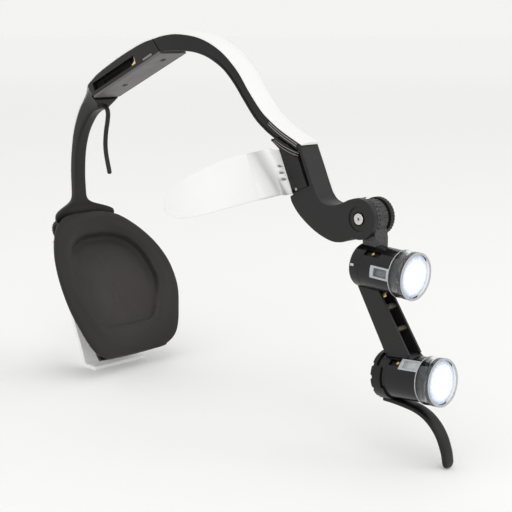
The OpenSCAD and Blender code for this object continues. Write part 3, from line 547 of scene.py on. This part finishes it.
dress("battery_housing", satin_black, 0.35, 3)
dress("housing_cover", cover_grey, 0.3, 3)
dress("cover_screws", fibre, 0.12)
dress("driver_board", board_green)
dress("battery_contacts", gold, 0.1)
dress("power_ribbon", ribbon_amber)
dress("battery_cell", battery_wrap, 0.4, 3)
dress("battery_cap", battery_black, 0.35, 3)
# the button's pale colour is partly painted highlight for the glint along it
dress("power_button", button_grey, 0.3, 3)

# rack let into each side of the rail: fine teeth between two thin light tubes, painted highlights
# for its edges catching the light
rack_line = band[19 * FINE:21 * FINE - 1]
rack_out = outward[19 * FINE:21 * FINE - 1]
RACK_X, RACK_PROUD, TOOTH = 7.02, 0.34, 0.16
GLINT_X, GLINT_DEPTHS = 7.3, (-1.05, -2.45)
rack_side = [(0, -1.1), (RACK_PROUD, -1.15), (RACK_PROUD, -1.4), (RACK_PROUD, -2.1),
             (RACK_PROUD, -2.35), (0, -2.4)]
STEPS = 5
verts, faces, glint_faces = [], [], []
for side in (-1, 1):
    base = len(verts)
    rows = []
    for i in range((len(rack_line) - 1) * STEPS + 1):
        t = i / STEPS
        k = min(int(t), len(rack_line) - 2)
        p = rack_line[k] + (rack_line[k + 1] - rack_line[k]) * (t - k)
        o = rack_out[k] + (rack_out[k + 1] - rack_out[k]) * (t - k)
        tooth = TOOTH if i % 3 == 0 else 0
        rows.append([(side * (RACK_X + x - (tooth if 0 < j < 5 else 0)), *(p + d * o))
                     for j, (x, d) in enumerate(rack_side)])
    for r in rows:
        verts += r
    faces += loft_faces(len(rows), len(rack_side), True, True, base)
    for d in GLINT_DEPTHS:
        base = len(verts)
        for p, o in zip(rack_line, rack_out):
            q = p + d * o
            for j in range(8):
                a = 2 * math.pi * j / 8
                verts.append((side * (GLINT_X + 0.26 * math.cos(a)),
                              q[0] + 0.2 * math.sin(a) * o[0], q[1] + 0.2 * math.sin(a) * o[1]))
        glint_faces += range(len(faces), len(faces) + 8 * (len(rack_line) - 1) + 2)
        faces += loft_faces(len(rack_line), 8, True, True, base)
rack = made("rack_skin", verts, faces, "headband", rack_grey, ("adjust_rack",))
rack.data.materials.append(painted_glint_grey)
for p in rack.data.polygons:
    p.use_smooth = False
for k in glint_faces:
    rack.data.polygons[k].material_index = 1

# ---------------------------------------------------------------- neck rest

NAPE, TILT = 86.0, math.radians(30)
REST = (-23.0, 13.0)


def rest_point(x, d, h):
    """Point on the pad: across, depth from its front face, height up its slope."""
    y = -NAPE + math.sqrt((NAPE + d) ** 2 - x * x)
    return (x, REST[0] + y * math.cos(TILT) + h * math.sin(TILT),
            REST[1] - y * math.sin(TILT) + h * math.cos(TILT))


def rest_local(v):
    """Across, depth and height of points in metres, as arrays in millimetres."""
    p = v / MM
    y0, z0 = p[:, 1] - REST[0], p[:, 2] - REST[1]
    y = y0 * math.cos(TILT) - z0 * math.sin(TILT)
    h = y0 * math.sin(TILT) + z0 * math.cos(TILT)
    return p[:, 0], np.sqrt((y + NAPE) ** 2 + p[:, 0] ** 2) - NAPE, h


pad_half = [(0, 0), (14, 0), (25, 0.05), (35.2, 4.9), (40.4, 13), (44, 23), (47.8, 36), (49, 48),
            (48.2, 62), (44.2, 77.5), (36.6, 92.5), (26, 104.6), (13, 109.9), (0, 110.8)]
panel_half = [(0, 20), (12, 20), (20.5, 20.6), (25, 25), (31, 37), (34.6, 48), (34.2, 58),
              (31, 73), (23.5, 84.5), (12, 90.6), (0, 91.8)]


def closed(half, n):
    right = smooth_line(half, n)
    return np.concatenate([right, [(-x, h) for x, h in right[::-1][1:-1]]])


def spokes(outline, centre, count):
    """Points of an outline at equal angles round a centre."""
    rel = outline - np.array(centre)
    ang = np.unwrap(np.arctan2(rel[:, 1], rel[:, 0]))
    ang, rel = np.append(ang, ang[0] + 2 * math.pi), np.vstack([rel, rel[:1]])
    want = ang[0] + np.arange(count) * 2 * math.pi / count
    return np.stack([np.interp(want, ang, rel[:, 0]), np.interp(want, ang, rel[:, 1])], axis=1)


# the pad's panel is made lighter round its middle
tint_round_spot(foam_black, tuple(c * MM for c in rest_point(8, 0, 44)), 0.05, (0.033, 0.028, 0.0268))
SPOKES = 96
CENTRE = (0.0, 52.0)
rim = spokes(closed(pad_half, 4), CENTRE, SPOKES)
FRONT, BACK = 1.2, 7.1
# share of the way out to the rim, depth
stations = [(s, FRONT) for s in (0.012, 0.05, 0.12, 0.2, 0.35, 0.45, 0.52, 0.58, 0.63, 0.68, 0.73,
                                 0.79)]
stations += [(0.88, 1.4), (0.945, 2.1), (0.985, 3.2), (1.0, 4.5), (0.985, 5.8), (0.95, 6.7)]
stations += [(s, BACK) for s in (0.86, 0.6, 0.3, 0.12, 0.012)]
rings = [[rest_point(CENTRE[0] + s * x, d, CENTRE[1] + s * h) for x, h in rim]
         for s, d in stations]
cushion = loft("nape_cushion", rings, "neck_rest", foam_black, ("neck_pad",))


PUFF_FRAMES, PUFF_CAP = 12, 0.0012


def simulate(ob):
    """Puffs the pad with cloth under pressure, capped to a small move."""
    bpy.context.view_layer.objects.active = ob
    ob.select_set(True)
    start = np.array([v.co for v in ob.data.vertices])
    cloth = ob.modifiers.new("cloth", "CLOTH")
    cloth.settings.use_pressure = True
    cloth.settings.uniform_pressure_force = 3
    cloth.settings.effector_weights.gravity = 0
    cloth.settings.tension_stiffness = 25
    cloth.settings.bending_stiffness = 3
    for f in range(1, PUFF_FRAMES + 1):
        bpy.context.scene.frame_set(f)
    dg = bpy.context.evaluated_depsgraph_get()
    ev = ob.evaluated_get(dg).to_mesh()
    end = np.array([v.co for v in ev.vertices])
    ob.evaluated_get(dg).to_mesh_clear()
    ob.modifiers.remove(cloth)
    bpy.context.scene.frame_set(1)
    move = end - start
    far = np.linalg.norm(move, axis=1)
    move *= np.minimum(1, PUFF_CAP / np.maximum(far, 1e-9))[:, None]
    ob.data.vertices.foreach_set("co", (start + move).ravel())
    ob.data.update()


def apply_modifier(ob, kind, **settings):
    m = ob.modifiers.new(kind, kind)
    for k, v in settings.items():
        setattr(m, k, v)
    bpy.context.view_layer.objects.active = ob
    bpy.ops.object.modifier_apply(modifier=m.name)


simulate(cushion)
apply_modifier(cushion, "SUBSURF", levels=2)


def distance(px, py, outline):
    """Distance of points to a closed outline, positive inside."""
    a = outline
    b = np.roll(outline, -1, axis=0)
    best = np.full(len(px), 1e9)
    inside = np.zeros(len(px), bool)
    for (ax, ay), (bx, by) in zip(a, b):
        dx, dy = bx - ax, by - ay
        t = np.clip(((px - ax) * dx + (py - ay) * dy) / (dx * dx + dy * dy + 1e-12), 0, 1)
        best = np.minimum(best, np.hypot(px - ax - t * dx, py - ay - t * dy))
        hit = ((ay > py) != (by > py)) & (px < (bx - ax) * (py - ay) / (by - ay + 1e-12) + ax)
        inside ^= hit
    return np.where(inside, best, -best)


PANEL_DEEP, SEAM_DEEP, SEAM_FADE = 2.2, 3.6, 5.5
LOW_SEAM = 33.0


def press(ob):
    """Presses the D-shaped panel, its seam and its low ridge into the pad's front face."""
    co = np.array([v.co for v in ob.data.vertices])
    x, d, h = rest_local(co)
    near = distance(x, h, closed(panel_half, 6))
    low = np.clip((34 - h) / 14, 0, 1)
    soft = np.clip((2 - x) / 20, 0, 1) * np.clip((82 - h) / 16, 0, 1)
    wide = 6.0 - 1.0 * low + 7.5 * soft * (1 - low)
    t = np.clip((near + 0.6) / wide, 0, 1)
    deep = (PANEL_DEEP - 0.4 * soft) * t * t * (3 - 2 * t)
    wall = np.clip((near + 1) / 3.4, 0, 1)
    wall *= wall * (3 - 2 * wall)
    seam = np.clip((h - 34) / 16, 0, 1) * SEAM_DEEP * (1 - soft)
    deep += seam * wall * np.exp(-np.maximum(near - 2.2, 0) / SEAM_FADE)
    ridge = np.clip((LOW_SEAM - h) / 4, 0, 1) * np.exp(-((near - 0.4) / 1.2) ** 2)
    deep -= 1.0 * ridge * (1 - 0.7 * soft)
    deep -= 0.8 * np.exp(-((near + 4.5) / 4.0) ** 2)
    deep -= 1.2 * np.clip(near / 30, 0, 1)
    deep *= np.clip((4.4 - d) / 1.6, 0, 1)
    across, back = x / (NAPE + d), np.sqrt((NAPE + d) ** 2 - x * x) / (NAPE + d)
    dirs = np.stack([across, back * math.cos(TILT), -back * math.sin(TILT)], axis=1)
    co += dirs * deep[:, None] * MM
    ob.data.vertices.foreach_set("co", co.ravel())
    ob.data.update()


press(cushion)


KNOB_ROOM, BARREL_ROOM, FAN_ROOM = 7.2, 6.4, 40.8


def keep_clear(ob):
    """Eases the back of the pad's top away from the knob, the barrel and the fan."""
    co = np.array([v.co for v in ob.data.vertices]) / MM
    off = co[:, 1:] - np.array(PIVOT)
    gap = np.linalg.norm(off, axis=1)
    room = np.where(co[:, 0] < -15, KNOB_ROOM, BARREL_ROOM)
    push = np.where((np.abs(co[:, 0]) < 25), np.maximum(0, room - gap), 0)
    co[:, 1:] += off / gap[:, None] * push[:, None]
    reach = np.hypot(co[:, 0], co[:, 1] + 2.5)
    high = (co[:, 2] > 96.5) & (np.abs(co[:, 0]) < 27) & (co[:, 1] > 20) & (reach > FAN_ROOM)
    co[high, 1] -= (reach[high] - FAN_ROOM) * 1.05
    ob.data.vertices.foreach_set("co", (co * MM).ravel())
    ob.data.update()


keep_clear(cushion)
for p in cushion.data.polygons:
    p.use_smooth = True

# the back shell wears the paler white: painted light on its shaded side
dress("back_shell", white_satin_painted_lit, 0.5, 3)
dress("pad_base", satin_black, 0.4, 2)
dress("pad_screws", steel, 0.1)
dress("pad_axle", steel, 0.2)
dress("pad_knob", satin_black, 0.2, 2)

# ---------------------------------------------------------------- forehead rest

LEAN = math.radians(24)
ARM_TOP = (-182.65, 163.43)


def arm_point(x, y, z):
    return (x, ARM_TOP[0] + y * math.cos(LEAN) + z * math.sin(LEAN),
            ARM_TOP[1] - y * math.sin(LEAN) + z * math.cos(LEAN))


# the fold between plate and wing: its place at the plate's foot and how it leans out
FOLD_X, FOLD_LOW, FOLD_RISE = 10.6, -17.5, 0.36


def paint_fold_shade(m):
    """Paints shade into the fold where the plate runs out onto each wing, greying the white along
    it.
    """
    t = m.node_tree
    b = t.nodes["Principled BSDF"]
    old = b.inputs["Base Color"].links[0].from_socket

    def math_node(kind, a, c, d=0.0):
        n = t.nodes.new("ShaderNodeMath")
        n.operation = kind
        for k, v in enumerate((a, c, d)):
            if isinstance(v, (int, float)):
                n.inputs[k].default_value = v
            else:
                link(t, v, n.inputs[k])
        return n.outputs["Value"]

    where = t.nodes.new("ShaderNodeTexCoord")
    part = t.nodes.new("ShaderNodeSeparateXYZ")
    link(t, where.outputs["Object"], part.inputs["Vector"])
    across = math_node("ABSOLUTE", part.outputs["X"], 0)
    y_rise, z_rise = FOLD_RISE * math.sin(LEAN), FOLD_RISE * math.cos(LEAN)
    zero = (FOLD_X - FOLD_RISE * FOLD_LOW) * MM
    start = zero - FOLD_RISE * (ARM_TOP[0] * math.sin(LEAN) + ARM_TOP[1] * math.cos(LEAN)) * MM
    from_y = math_node("MULTIPLY_ADD", part.outputs["Y"], y_rise, start)
    valley = math_node("MULTIPLY_ADD", part.outputs["Z"], z_rise, from_y)
    off = math_node("SUBTRACT", across, valley)
    place = math_node("MULTIPLY_ADD", off, 50, 0.3)
    ramp = t.nodes.new("ShaderNodeValToRGB")
    ramp.color_ramp.interpolation = "B_SPLINE"
    ramp.color_ramp.elements[0].position = 0.16
    ramp.color_ramp.elements[0].color = (1, 1, 1, 1)
    ramp.color_ramp.elements[1].position = 0.95
    ramp.color_ramp.elements[1].color = (1, 1, 1, 1)
    low = ramp.color_ramp.elements.new(0.34)
    low.color = (0.5, 0.5, 0.49, 1)
    mid = ramp.color_ramp.elements.new(0.56)
    mid.color = (0.84, 0.84, 0.84, 1)
    mix = t.nodes.new("ShaderNodeMix")
    mix.data_type = "RGBA"
    mix.blend_type = "MULTIPLY"
    mix.inputs["Factor"].default_value = 1
    link(t, place, ramp.inputs["Fac"])
    link(t, old, mix.inputs["A"])
    link(t, ramp.outputs["Color"], mix.inputs["B"])
    link(t, mix.outputs["Result"], b.inputs["Base Color"])
    return m


# white of the forehead plate, with painted shade along its fold
fold_shaded_white = material("white_painted_fold_shade", (0.83, 0.83, 0.825), 0.36, grain=(1400, 0.08, 0.00006),
                   vary=0.02, rough_vary=0.06)
# painted light: the plate is painted paler round its middle, making up for light its face does not
# get
tint_round_spot(fold_shaded_white, tuple(c * MM for c in arm_point(0, 13, -3)), 0.03, (0.95, 0.95, 0.945))
paint_fold_shade(fold_shaded_white)
# grey for the slugs in the plate's slits: painted shade for their depth
vent_shade_grey = material("vent_shade_grey", (0.3, 0.3, 0.3), 0.6, grain=(1400, 0.08, 0.00006), vary=0.1,
                     rough_vary=0.06)

wing_top = smooth_line([(6, 9.5), (16, 10.6), (38, 10.3), (52, 8.5), (65, 6.2), (76, 2.8),
                        (82.5, -2.2), (84.8, -8)], 8)
wing_low = smooth_line([(6, -17.4), (26, -17.8), (44, -18), (60, -17.8), (72, -17), (80, -14),
                        (84.8, -8)], 8)
BROW = 80.0
WING_Y = 14.35 + math.sqrt((BROW + 1.8) ** 2 - 8.5 ** 2)
PLATE_SPAN, PLATE_TOP, PLATE_LOW = 29.0, 9, -18.4
PLATE_COLUMNS, PLATE_ROWS = 160, 72
VENTS, VENT_X, VENT_LEAN = (-0.9, -4.9, -8.9), 11, 0.12


def wing_mesh(name, side, node):
    rings = []
    for k in range(61):
        s = 12.5 + 72.25 * math.sin(k / 60 * math.pi / 2)
        top = np.interp(s, wing_top[:, 0], wing_top[:, 1])
        low = np.interp(s, wing_low[:, 0], wing_low[:, 1])
        mid, tall = (top + low) / 2, (top - low) / 2
        angle = math.asin(min(1, BROW * math.sin(s / BROW) / (BROW + 0.9)))
        row = []
        thick = 0.9 * min(1, 0.25 + tall / 3)
        for cx, ct in rounded(44, 9):
            r = BROW + 0.9 + ct * thick - (1.4 * (1 - ease(s, 25, 29)) if ct > 0 else 0)
            row.append(arm_point(side * r * math.sin(angle), WING_Y - r * math.cos(angle),
                                 mid + cx * max(tall, 0.15)))
        rings.append(row)
    return loft(name, rings, "slider", white_satin, (node,))


wing_mesh("wing_skin_right", -1, "wing_right")
wing_mesh("wing_skin_left", 1, "wing_left")


def plate_skin():
    """The forehead plate, bulging beside the arm and running out onto both wings."""
    rings = []
    for k in range(PLATE_COLUMNS + 1):
        x = -PLATE_SPAN + 2 * PLATE_SPAN * k / PLATE_COLUMNS
        s = max(abs(x), 0.01)
        on_wing = WING_Y - math.sqrt((BROW + 1.8) ** 2 - x * x)
        out = ease(s, 9, 15)
        wing_z0 = np.interp(s, wing_low[:, 0], wing_low[:, 1]) + 0.12
        wing_z1 = np.interp(s, wing_top[:, 0], wing_top[:, 1]) - 0.12
        low = PLATE_LOW + (wing_z0 - PLATE_LOW) * out
        top = PLATE_TOP + (wing_z1 - PLATE_TOP) * out
        row = []
        for j in range(PLATE_ROWS + 1):
            z = low + (top - low) * j / PLATE_ROWS
            valley = FOLD_X + FOLD_RISE * (z - FOLD_LOW)
            over = ease(s, valley - 5.5, valley + 2.5)
            proud = 0.14 - 0.4 * ease(s, PLATE_SPAN - 4, PLATE_SPAN)
            y = (12.45 + 0.9 * ((s - 8) / 14) ** 2) * (1 - over) + (on_wing - proud) * over
            y += 0.7 * math.exp(-((s - valley - 1.5) / 3.2) ** 2)
            for slit in VENTS:
                y += 1.3 * math.exp(-((s - 10.9) / (1.3 if s > 10.9 else 2.6)) ** 2
                                    - ((z - slit - VENT_LEAN * (s - VENT_X)) / 0.7) ** 2)
            edge = min(1, min(j, PLATE_ROWS - j) / 3)
            row.append(arm_point(x, y + 0.5 * (1 - math.sqrt(1 - (1 - edge) ** 2)), z))
        back = min(14.3, on_wing + 0.9) if s < 14 else on_wing + 0.9
        for z in np.linspace(top, low, 9):
            row.append(arm_point(x, back, z))
        rings.append(row)
    loft("plate_skin", rings, "slider", fold_shaded_white, ("forehead_plate",))
    # a grey slug lies in each slit: painted shade standing in for the slit's depth
    verts, faces = [], []
    for side in (-1, 1):
        for slit in VENTS:
            base = len(verts)
            for x, size in [(12.1, 0.1), (11.9, 0.42), (11.2, 0.6), (10.3, 0.6), (9.4, 0.42),
                            (8.4, 0.25), (7.4, 0.12)]:
                for k in range(12):
                    a = 2 * math.pi * k / 12
                    verts.append(arm_point(side * x, 13.1 + 0.35 * math.sin(a),
                                           slit + VENT_LEAN * (x - VENT_X) + size * math.cos(a)))
            faces += loft_faces(7, 12, True, True, base)
    made("plate_vent_shade", verts, faces, "slider", vent_shade_grey)


plate_skin()
dress("plate_screws", steel, 0.15)
dress("arm_slider", arm_black, 0.18, 2)
# two fine light tubes on each side of the slider: painted highlights for its lips catching the
# light
slide_upper = [(-164.88, 172.04), (-168.97, 170.08), (-173.84, 168.12), (-178.66, 166.65),
               (-183.83, 165.46)]
slide_lower = [(-163.65, 171.37), (-168.16, 168.85), (-173.04, 166.72), (-177.88, 165.2),
               (-183.45, 164.1)]
circle = [2 * math.pi * j / 10 for j in range(10)]
for side in (-1, 1):
    for k, line in enumerate((slide_upper, slide_lower)):
        rows = [[(side * (8.12 + 0.16 * math.cos(a)), p[0] + 0.05 * math.sin(a),
                  p[1] + 0.15 * math.sin(a)) for a in circle] for p in smooth_line(line, 5)]
        loft("slide_glint_%d_%s" % (k, "right" if side < 0 else "left"), rows, "slider", painted_glint_grey)
dress("detent_pawl", dark_steel, 0.04)
dress("guide_pin", steel, 0.12, 2)

# ---------------------------------------------------------------- arm and hinge

dress("arm_body", arm_black, 0.3, 3)
dress("arm_cover", arm_black, 0.3, 3)
dress("arm_screws", steel, 0.12)
dress("friction_washer", fibre, 0.08)
dress("tension_knob", arm_black, 0.18, 2)
dress("hinge_barrel", knurl_grey, 0.2, 2)
dress("barrel_bush", brass, 0.15)

HINGE = (-229.0, 132.0)


def turned_x(name, profile, body, mat, replaces=(), n=48):
    """A round piece on the hinge's axis from (x, radius) pairs."""
    rows = [[(x, HINGE[0] + r * math.cos(2 * math.pi * k / n),
              HINGE[1] + r * math.sin(2 * math.pi * k / n)) for k in range(n)] for x, r in profile]
    return made(name, [v for r in rows for v in r], loft_faces(len(rows), n), body, mat,
                replaces)


turned_x("screw_skin", [(-7.3, 0.02), (-7.3, 0.7), (-7.75, 0.85), (-7.86, 1.2), (-7.84, 2.3),
                        (-7.72, 3), (-7.5, 3.25), (-7.2, 3.3), (-6.45, 3.3), (-6.45, 1.57),
                        (9.9, 1.57), (9.95, 1.5), (9.95, 0.02)], "arm", steel,
         ("hinge_screw",))
turned_x("screw_dot", [(-7.7, 0.02), (-7.7, 0.6), (-7.62, 0.68), (-7.35, 0.68), (-7.35, 0.02)],
         "arm", red_dot, n=24)

# ---------------------------------------------------------------- lamps

LAMPS = [((-264.7, 103.3), 3.0), ((-284.8, 47.6), -4.0)]
places = [Matrix.Translation((0, p[0], p[1])) @ Matrix.Rotation(math.radians(a), 4, "X")
          for p, a in LAMPS]
TAB_HALF, TAB_RIM = 14.6, 4.6


def arc_block(verts, faces, place, a0, a1, r0, r1, y0, y1, n=6):
    """Adds a block bent round the lamp's axis between two angles."""
    base = len(verts)
    for k in range(n + 1):
        a = math.radians(a0 + (a1 - a0) * k / n)
        for r, y in [(r0, y0), (r1, y0), (r1, y1), (r0, y1)]:
            verts.append(place @ Vector((r * math.sin(a), y, r * math.cos(a))))
    faces += loft_faces(n + 1, 4, True, True, base)


for i, level in enumerate(("upper", "lower")):
    place = places[i]
    dress(level + "_body", anodised, 0.2, 2)
    dress(level + "_heat_sink", dark_steel)
    dress(level + "_led", emitter)
    dress(level + "_reflector", mirror)
    face = lamp_face(level + "_lit_lens", tuple(place @ Vector((0, 1.2, 0)) * MM), 1.12)
    lens = [(0.02, 0.55), (3, 0.58), (6, 0.7), (8.5, 0.9), (10.6, 1.2), (11.8, 1.5), (12.1, 1.8),
            (12.1, 2.1), (11.3, 2.3), (11.3, 3.3), (0.02, 3.4)]
    v, f = lathe(lens, place)
    made(level + "_lit_face", v, f, "lamp_head", face, (level + "_lens",))
    # black sleeve round the mirror, seen through the clear ring
    v, f = lathe([(11.05, 3.6), (11.42, 3.6), (11.42, 9.7), (11.05, 9.7), (11.05, 3.6)], place)
    made(level + "_sleeve", v, f, "lamp_head", gloss_black)
    ring = [(11.55, 9.6), (11.52, 5), (11.55, 2.6), (12.2, 2.3), (12.25, 0.7), (12.5, 0.12),
            (12.8, 0.0), (13.2, 0.12), (13.45, 0.5), (13.5, 1), (13.5, 8.9), (13.35, 9.3),
            (13.0, 9.62), (11.55, 9.6)]
    v, f = lathe(ring, place, 96)
    made(level + "_clear_ring", v, f, level + "_focus", clear, (level + "_ring",))
    # frosted rear edge and the two tabs back along the barrel
    v, f = lathe([(12.6, 9.3), (13.54, 9.05), (13.56, 9.5), (13.45, 9.72), (12.6, 9.72),
                  (12.6, 9.3)], place, 96)
    base = len(v)
    bezel = [(12.15, 0.25), (12.35, 0.02), (13, -0.03), (13.35, 0.08), (13.53, 0.35), (13.54, 0.75),
             (13.4, 0.75), (12.15, 0.5), (12.15, 0.25)]
    v2, f2 = lathe(bezel, place, 96)
    v += v2
    f += [tuple(base + k for k in q) for q in f2]
    mid = (-86, -44)[i]
    for a in (mid, mid + 180):
        w, t = TAB_HALF, TAB_RIM
        arc_block(v, f, place, a - w, a - w + t, 12.86, 13.8, 9.5, 22)
        arc_block(v, f, place, a + w - t, a + w, 12.86, 13.8, 9.5, 22)
        arc_block(v, f, place, a - w, a + w, 12.86, 13.75, 9.2, 10.6)
        arc_block(v, f, place, a - w, a + w, 12.86, 13.75, 19.6, 22)
    soften(made(level + "_tabs", v, f, level + "_focus", frosted), 0.12, 2, 40)
    v, f = [], []
    pane_r, pane = ((13.2, pane_grey), (13.5, frosted))[i]
    for a in (mid, mid + 180):
        arc_block(v, f, place, a - 10.2, a + 10.2, 12.88, pane_r, 10.5, 19.7)
    made(level + "_tab_panes", v, f, level + "_focus", pane)
    y0, y1 = ((31.4, 38.8), (31.3, 40.4))[i]
    cap = [(8, y0 + 4.3), (8, y0), (12.35, y0), (12.62, y0 + 0.12), (12.7, y0 + 0.4),
           (12.7, y1 - 2.1), (12.6, y1 - 1.5), (12.2, y1 - 0.8), (11.6, y1 - 0.35),
           (10.8, y1 - 0.08), (10, y1), (7.2, y1), (7, y1 - 0.1), (6.8, y1 - 0.5),
           (6.6, y1 - 0.6), (0.02, y1 - 0.6)]
    v, f = lathe(cap, place)
    soften(made(level + "_cap_skin", v, f, "lamp_head", anodised,
                (level + "_rear_cap",)), 0.1, 2, 60)
# slanting wire groove on top of the upper lamp
v, f = [], []
for k in range(12):
    a, y = -17 * k / 11, 32.3 - 11.8 * k / 11
    arc_block(v, f, places[0], a - 4.6, a + 4.6, 12.4, 12.76, y - 1.2, y, 3)
made("wire_groove", v, f, "lamp_head", fibre)
# small silver pin low on the upper lamp's rear
v, f = [], []
arc_block(v, f, places[0], -84.6, -78.4, 12.6, 13.1, 34.3, 36.8, 4)
soften(made("rear_pin", v, f, "lamp_head", steel), 0.15, 2, 40)
dress("focus_pins", brass, 0.15)
dress("lamp_bar", arm_black, 0.25, 3)
dress("bar_wires", wire_red, 0.3, 3)


def strut(name, pts, half, thick, body, mat):
    """A bar along points in the side plane, half wide to each side of the middle."""
    line = np.array(pts, float)
    d = np.gradient(line, axis=0)
    d /= np.linalg.norm(d, axis=1)[:, None]
    rows = [[(half * cx, p[0] + thick * ct * d[k][1], p[1] - thick * ct * d[k][0])
             for cx, ct in rounded(24, 5)] for k, p in enumerate(line)]
    return loft(name, rows, body, mat)


# the bar's foot, shaped to sit on the lower lamp
FOOT_HALF, FOOT_R = 5.75, 12.74
LOW_Y, LOW_Z = LAMPS[1][0]
LOW_SLOPE = math.tan(math.radians(LAMPS[1][1]))
rows = []
for k in range(13):
    y = -249.2 - 18.2 * k / 12
    axis_z = LOW_Z + (y - LOW_Y) * LOW_SLOPE
    top = 57.8 + 2.4 * k / 12 if k < 11 else 60.2 - 1.7 * (k - 10)
    row = []
    for x in np.linspace(-FOOT_HALF, FOOT_HALF, 13):
        row.append((x, y, axis_z + math.sqrt(FOOT_R ** 2 - x * x)))
    for x in np.linspace(FOOT_HALF, -FOOT_HALF, 13):
        row.append((x, y, max(top, axis_z + math.sqrt(FOOT_R ** 2 - x * x) + 0.05)))
    rows.append(row)
loft("bar_foot", rows, "lamp_head", arm_black)
# ribs across the bar's open channel, and a brass contact at its top
for k, t in enumerate((0.33, 0.64)):
    y, z = -241 - 24.4 * t, 96 - 36 * t
    strut("bar_rib_%d" % k,
          [(y + 0.9, z + 0.2), (y + 2.4, z - 0.9), (y + 4, z - 2.2), (y + 7, z - 4.4)],
          4.15, 1.1, "lamp_head", olive)
strut("bar_contact", [(-241.4, 91.4), (-242.1, 90.4), (-242.8, 89.4), (-243.4, 88.5)], 1.5, 0.4,
      "lamp_head", brass)

# grip lever: tapered blade and the notched collar it grows from
lever_line = smooth_line([
    (-247, 31.2), (-253.5, 31), (-260.6, 30.4), (-268, 29.3), (-274.6, 26.9), (-280.4, 22.6),
    (-284.9, 16.8), (-287.9, 9.8), (-289.1, 4.6), (-289.4, 2.2), (-289.5, 0.5)], 6)
lever_dir = np.gradient(lever_line, axis=0)
lever_dir /= np.linalg.norm(lever_dir, axis=1)[:, None]
LEVER_TIP = 11
rings = []
total = len(lever_line) - 1
for i, p in enumerate(lever_line):
    u = i / total
    end = total - i
    shrink = math.sqrt(max(0.04, 1 - max(0, (LEVER_TIP - end) / LEVER_TIP) ** 2))
    thick = (1.8 - 0.4 * u) * (0.35 + 0.65 * shrink)
    wide = (4.7 - 0.5 * u) * (0.25 + 0.75 * shrink)
    nrm = (lever_dir[i][1], -lever_dir[i][0])
    rings.append([(wide * cx, p[0] + thick * ct * nrm[0], p[1] + thick * ct * nrm[1])
                  for cx, ct in rounded(32, 3.4)])
loft("lever_skin", rings, "lamp_head", lever_black, ("grip_lever",))

COLLAR_STEPS, COLLAR_R = 180, 12.78
verts, faces = [], []
for k in range(COLLAR_STEPS):
    a = 360 * k / COLLAR_STEPS
    turn = math.radians(a)
    side = min(a, 360 - a)
    front = 37.0 if side < 60 else (33.4 if side < 112 else 31.8)
    back = 40.0 - (0.9 if (a % 30) < 8 and 40 < side < 170 else 0)
    for r, y in [(COLLAR_R, front), (13.75, front), (14, front + 0.3), (14, back - 0.4),
                 (13.7, back), (COLLAR_R, back)]:
        verts.append(places[1] @ Vector((r * math.sin(turn), y, r * math.cos(turn))))
for k in range(COLLAR_STEPS):
    here, after = k * 6, (k + 1) % COLLAR_STEPS * 6
    for i in range(6):
        j = (i + 1) % 6
        faces.append((here + i, after + i, after + j, here + j))
collar = made("lever_collar", verts, faces, "lamp_head", lever_black)
soften(collar, 0.1, 2, 40)

# ---------------------------------------------------------------- stage, light, camera

me = bpy.data.meshes.new("floor")
bm = bmesh.new()
bmesh.ops.create_circle(bm, cap_ends=True, segments=96, radius=60)
bm.to_mesh(me)
bm.free()
floor = bpy.data.objects.new("floor", me)
bpy.context.scene.collection.objects.link(floor)
floor_pale = material("floor_pale", (0.985, 0.985, 0.98), 0.7, grain=(40, 0.02, 0.001),
                      vary=0.01, patch=3, rough_vary=0.05)
# painted light: the floor is painted darker round the stage and paler far out, evening the lamps'
# fall-off so the far floor meets the sky without a line
tint_round_spot(floor_pale, (0, -0.15, 0), 7, (0.935, 0.935, 0.93))
me.materials.append(floor_pale)

world = bpy.data.worlds.new("studio")
bpy.context.scene.world = world
world.use_nodes = True
sky = world.node_tree.nodes["Background"]
sky.inputs["Color"].default_value = (1, 1, 0.995, 1)
sky.inputs["Strength"].default_value = 0.9


def softbox(name, place, aim, size, power):
    data = bpy.data.lights.new(name, "AREA")
    data.shape = "RECTANGLE"
    data.size, data.size_y = size
    data.energy = power
    ob = bpy.data.objects.new(name, data)
    ob.location = place
    ob.rotation_euler = (Vector(aim) - Vector(place)).to_track_quat("-Z", "Y").to_euler()
    bpy.context.scene.collection.objects.link(ob)


softbox("top", (-0.15, -0.4, 1.2), (0, -0.18, 0.1), (0.3, 0.9), 1.3)
softbox("front", (1.5, -2.0, 1.5), (0, -0.1, 0.12), (1.0, 1.2), 5.2)

softbox("fill", (-1.6, -2.0, 0.9), (0, -0.1, 0.12), (1.4, 1.2), 8)

cam = bpy.data.cameras.new("camera")
cam.lens = 81.08
cam.sensor_width = 36
cam.clip_start = 0.05
camera = bpy.data.objects.new("camera", cam)
camera.location = (-0.4968, -0.6377, 0.2341)
camera.rotation_euler = (math.radians(79.04), 0, math.radians(-45))
bpy.context.scene.collection.objects.link(camera)
bpy.context.scene.camera = camera
bpy.context.scene.view_settings.view_transform = "Standard"
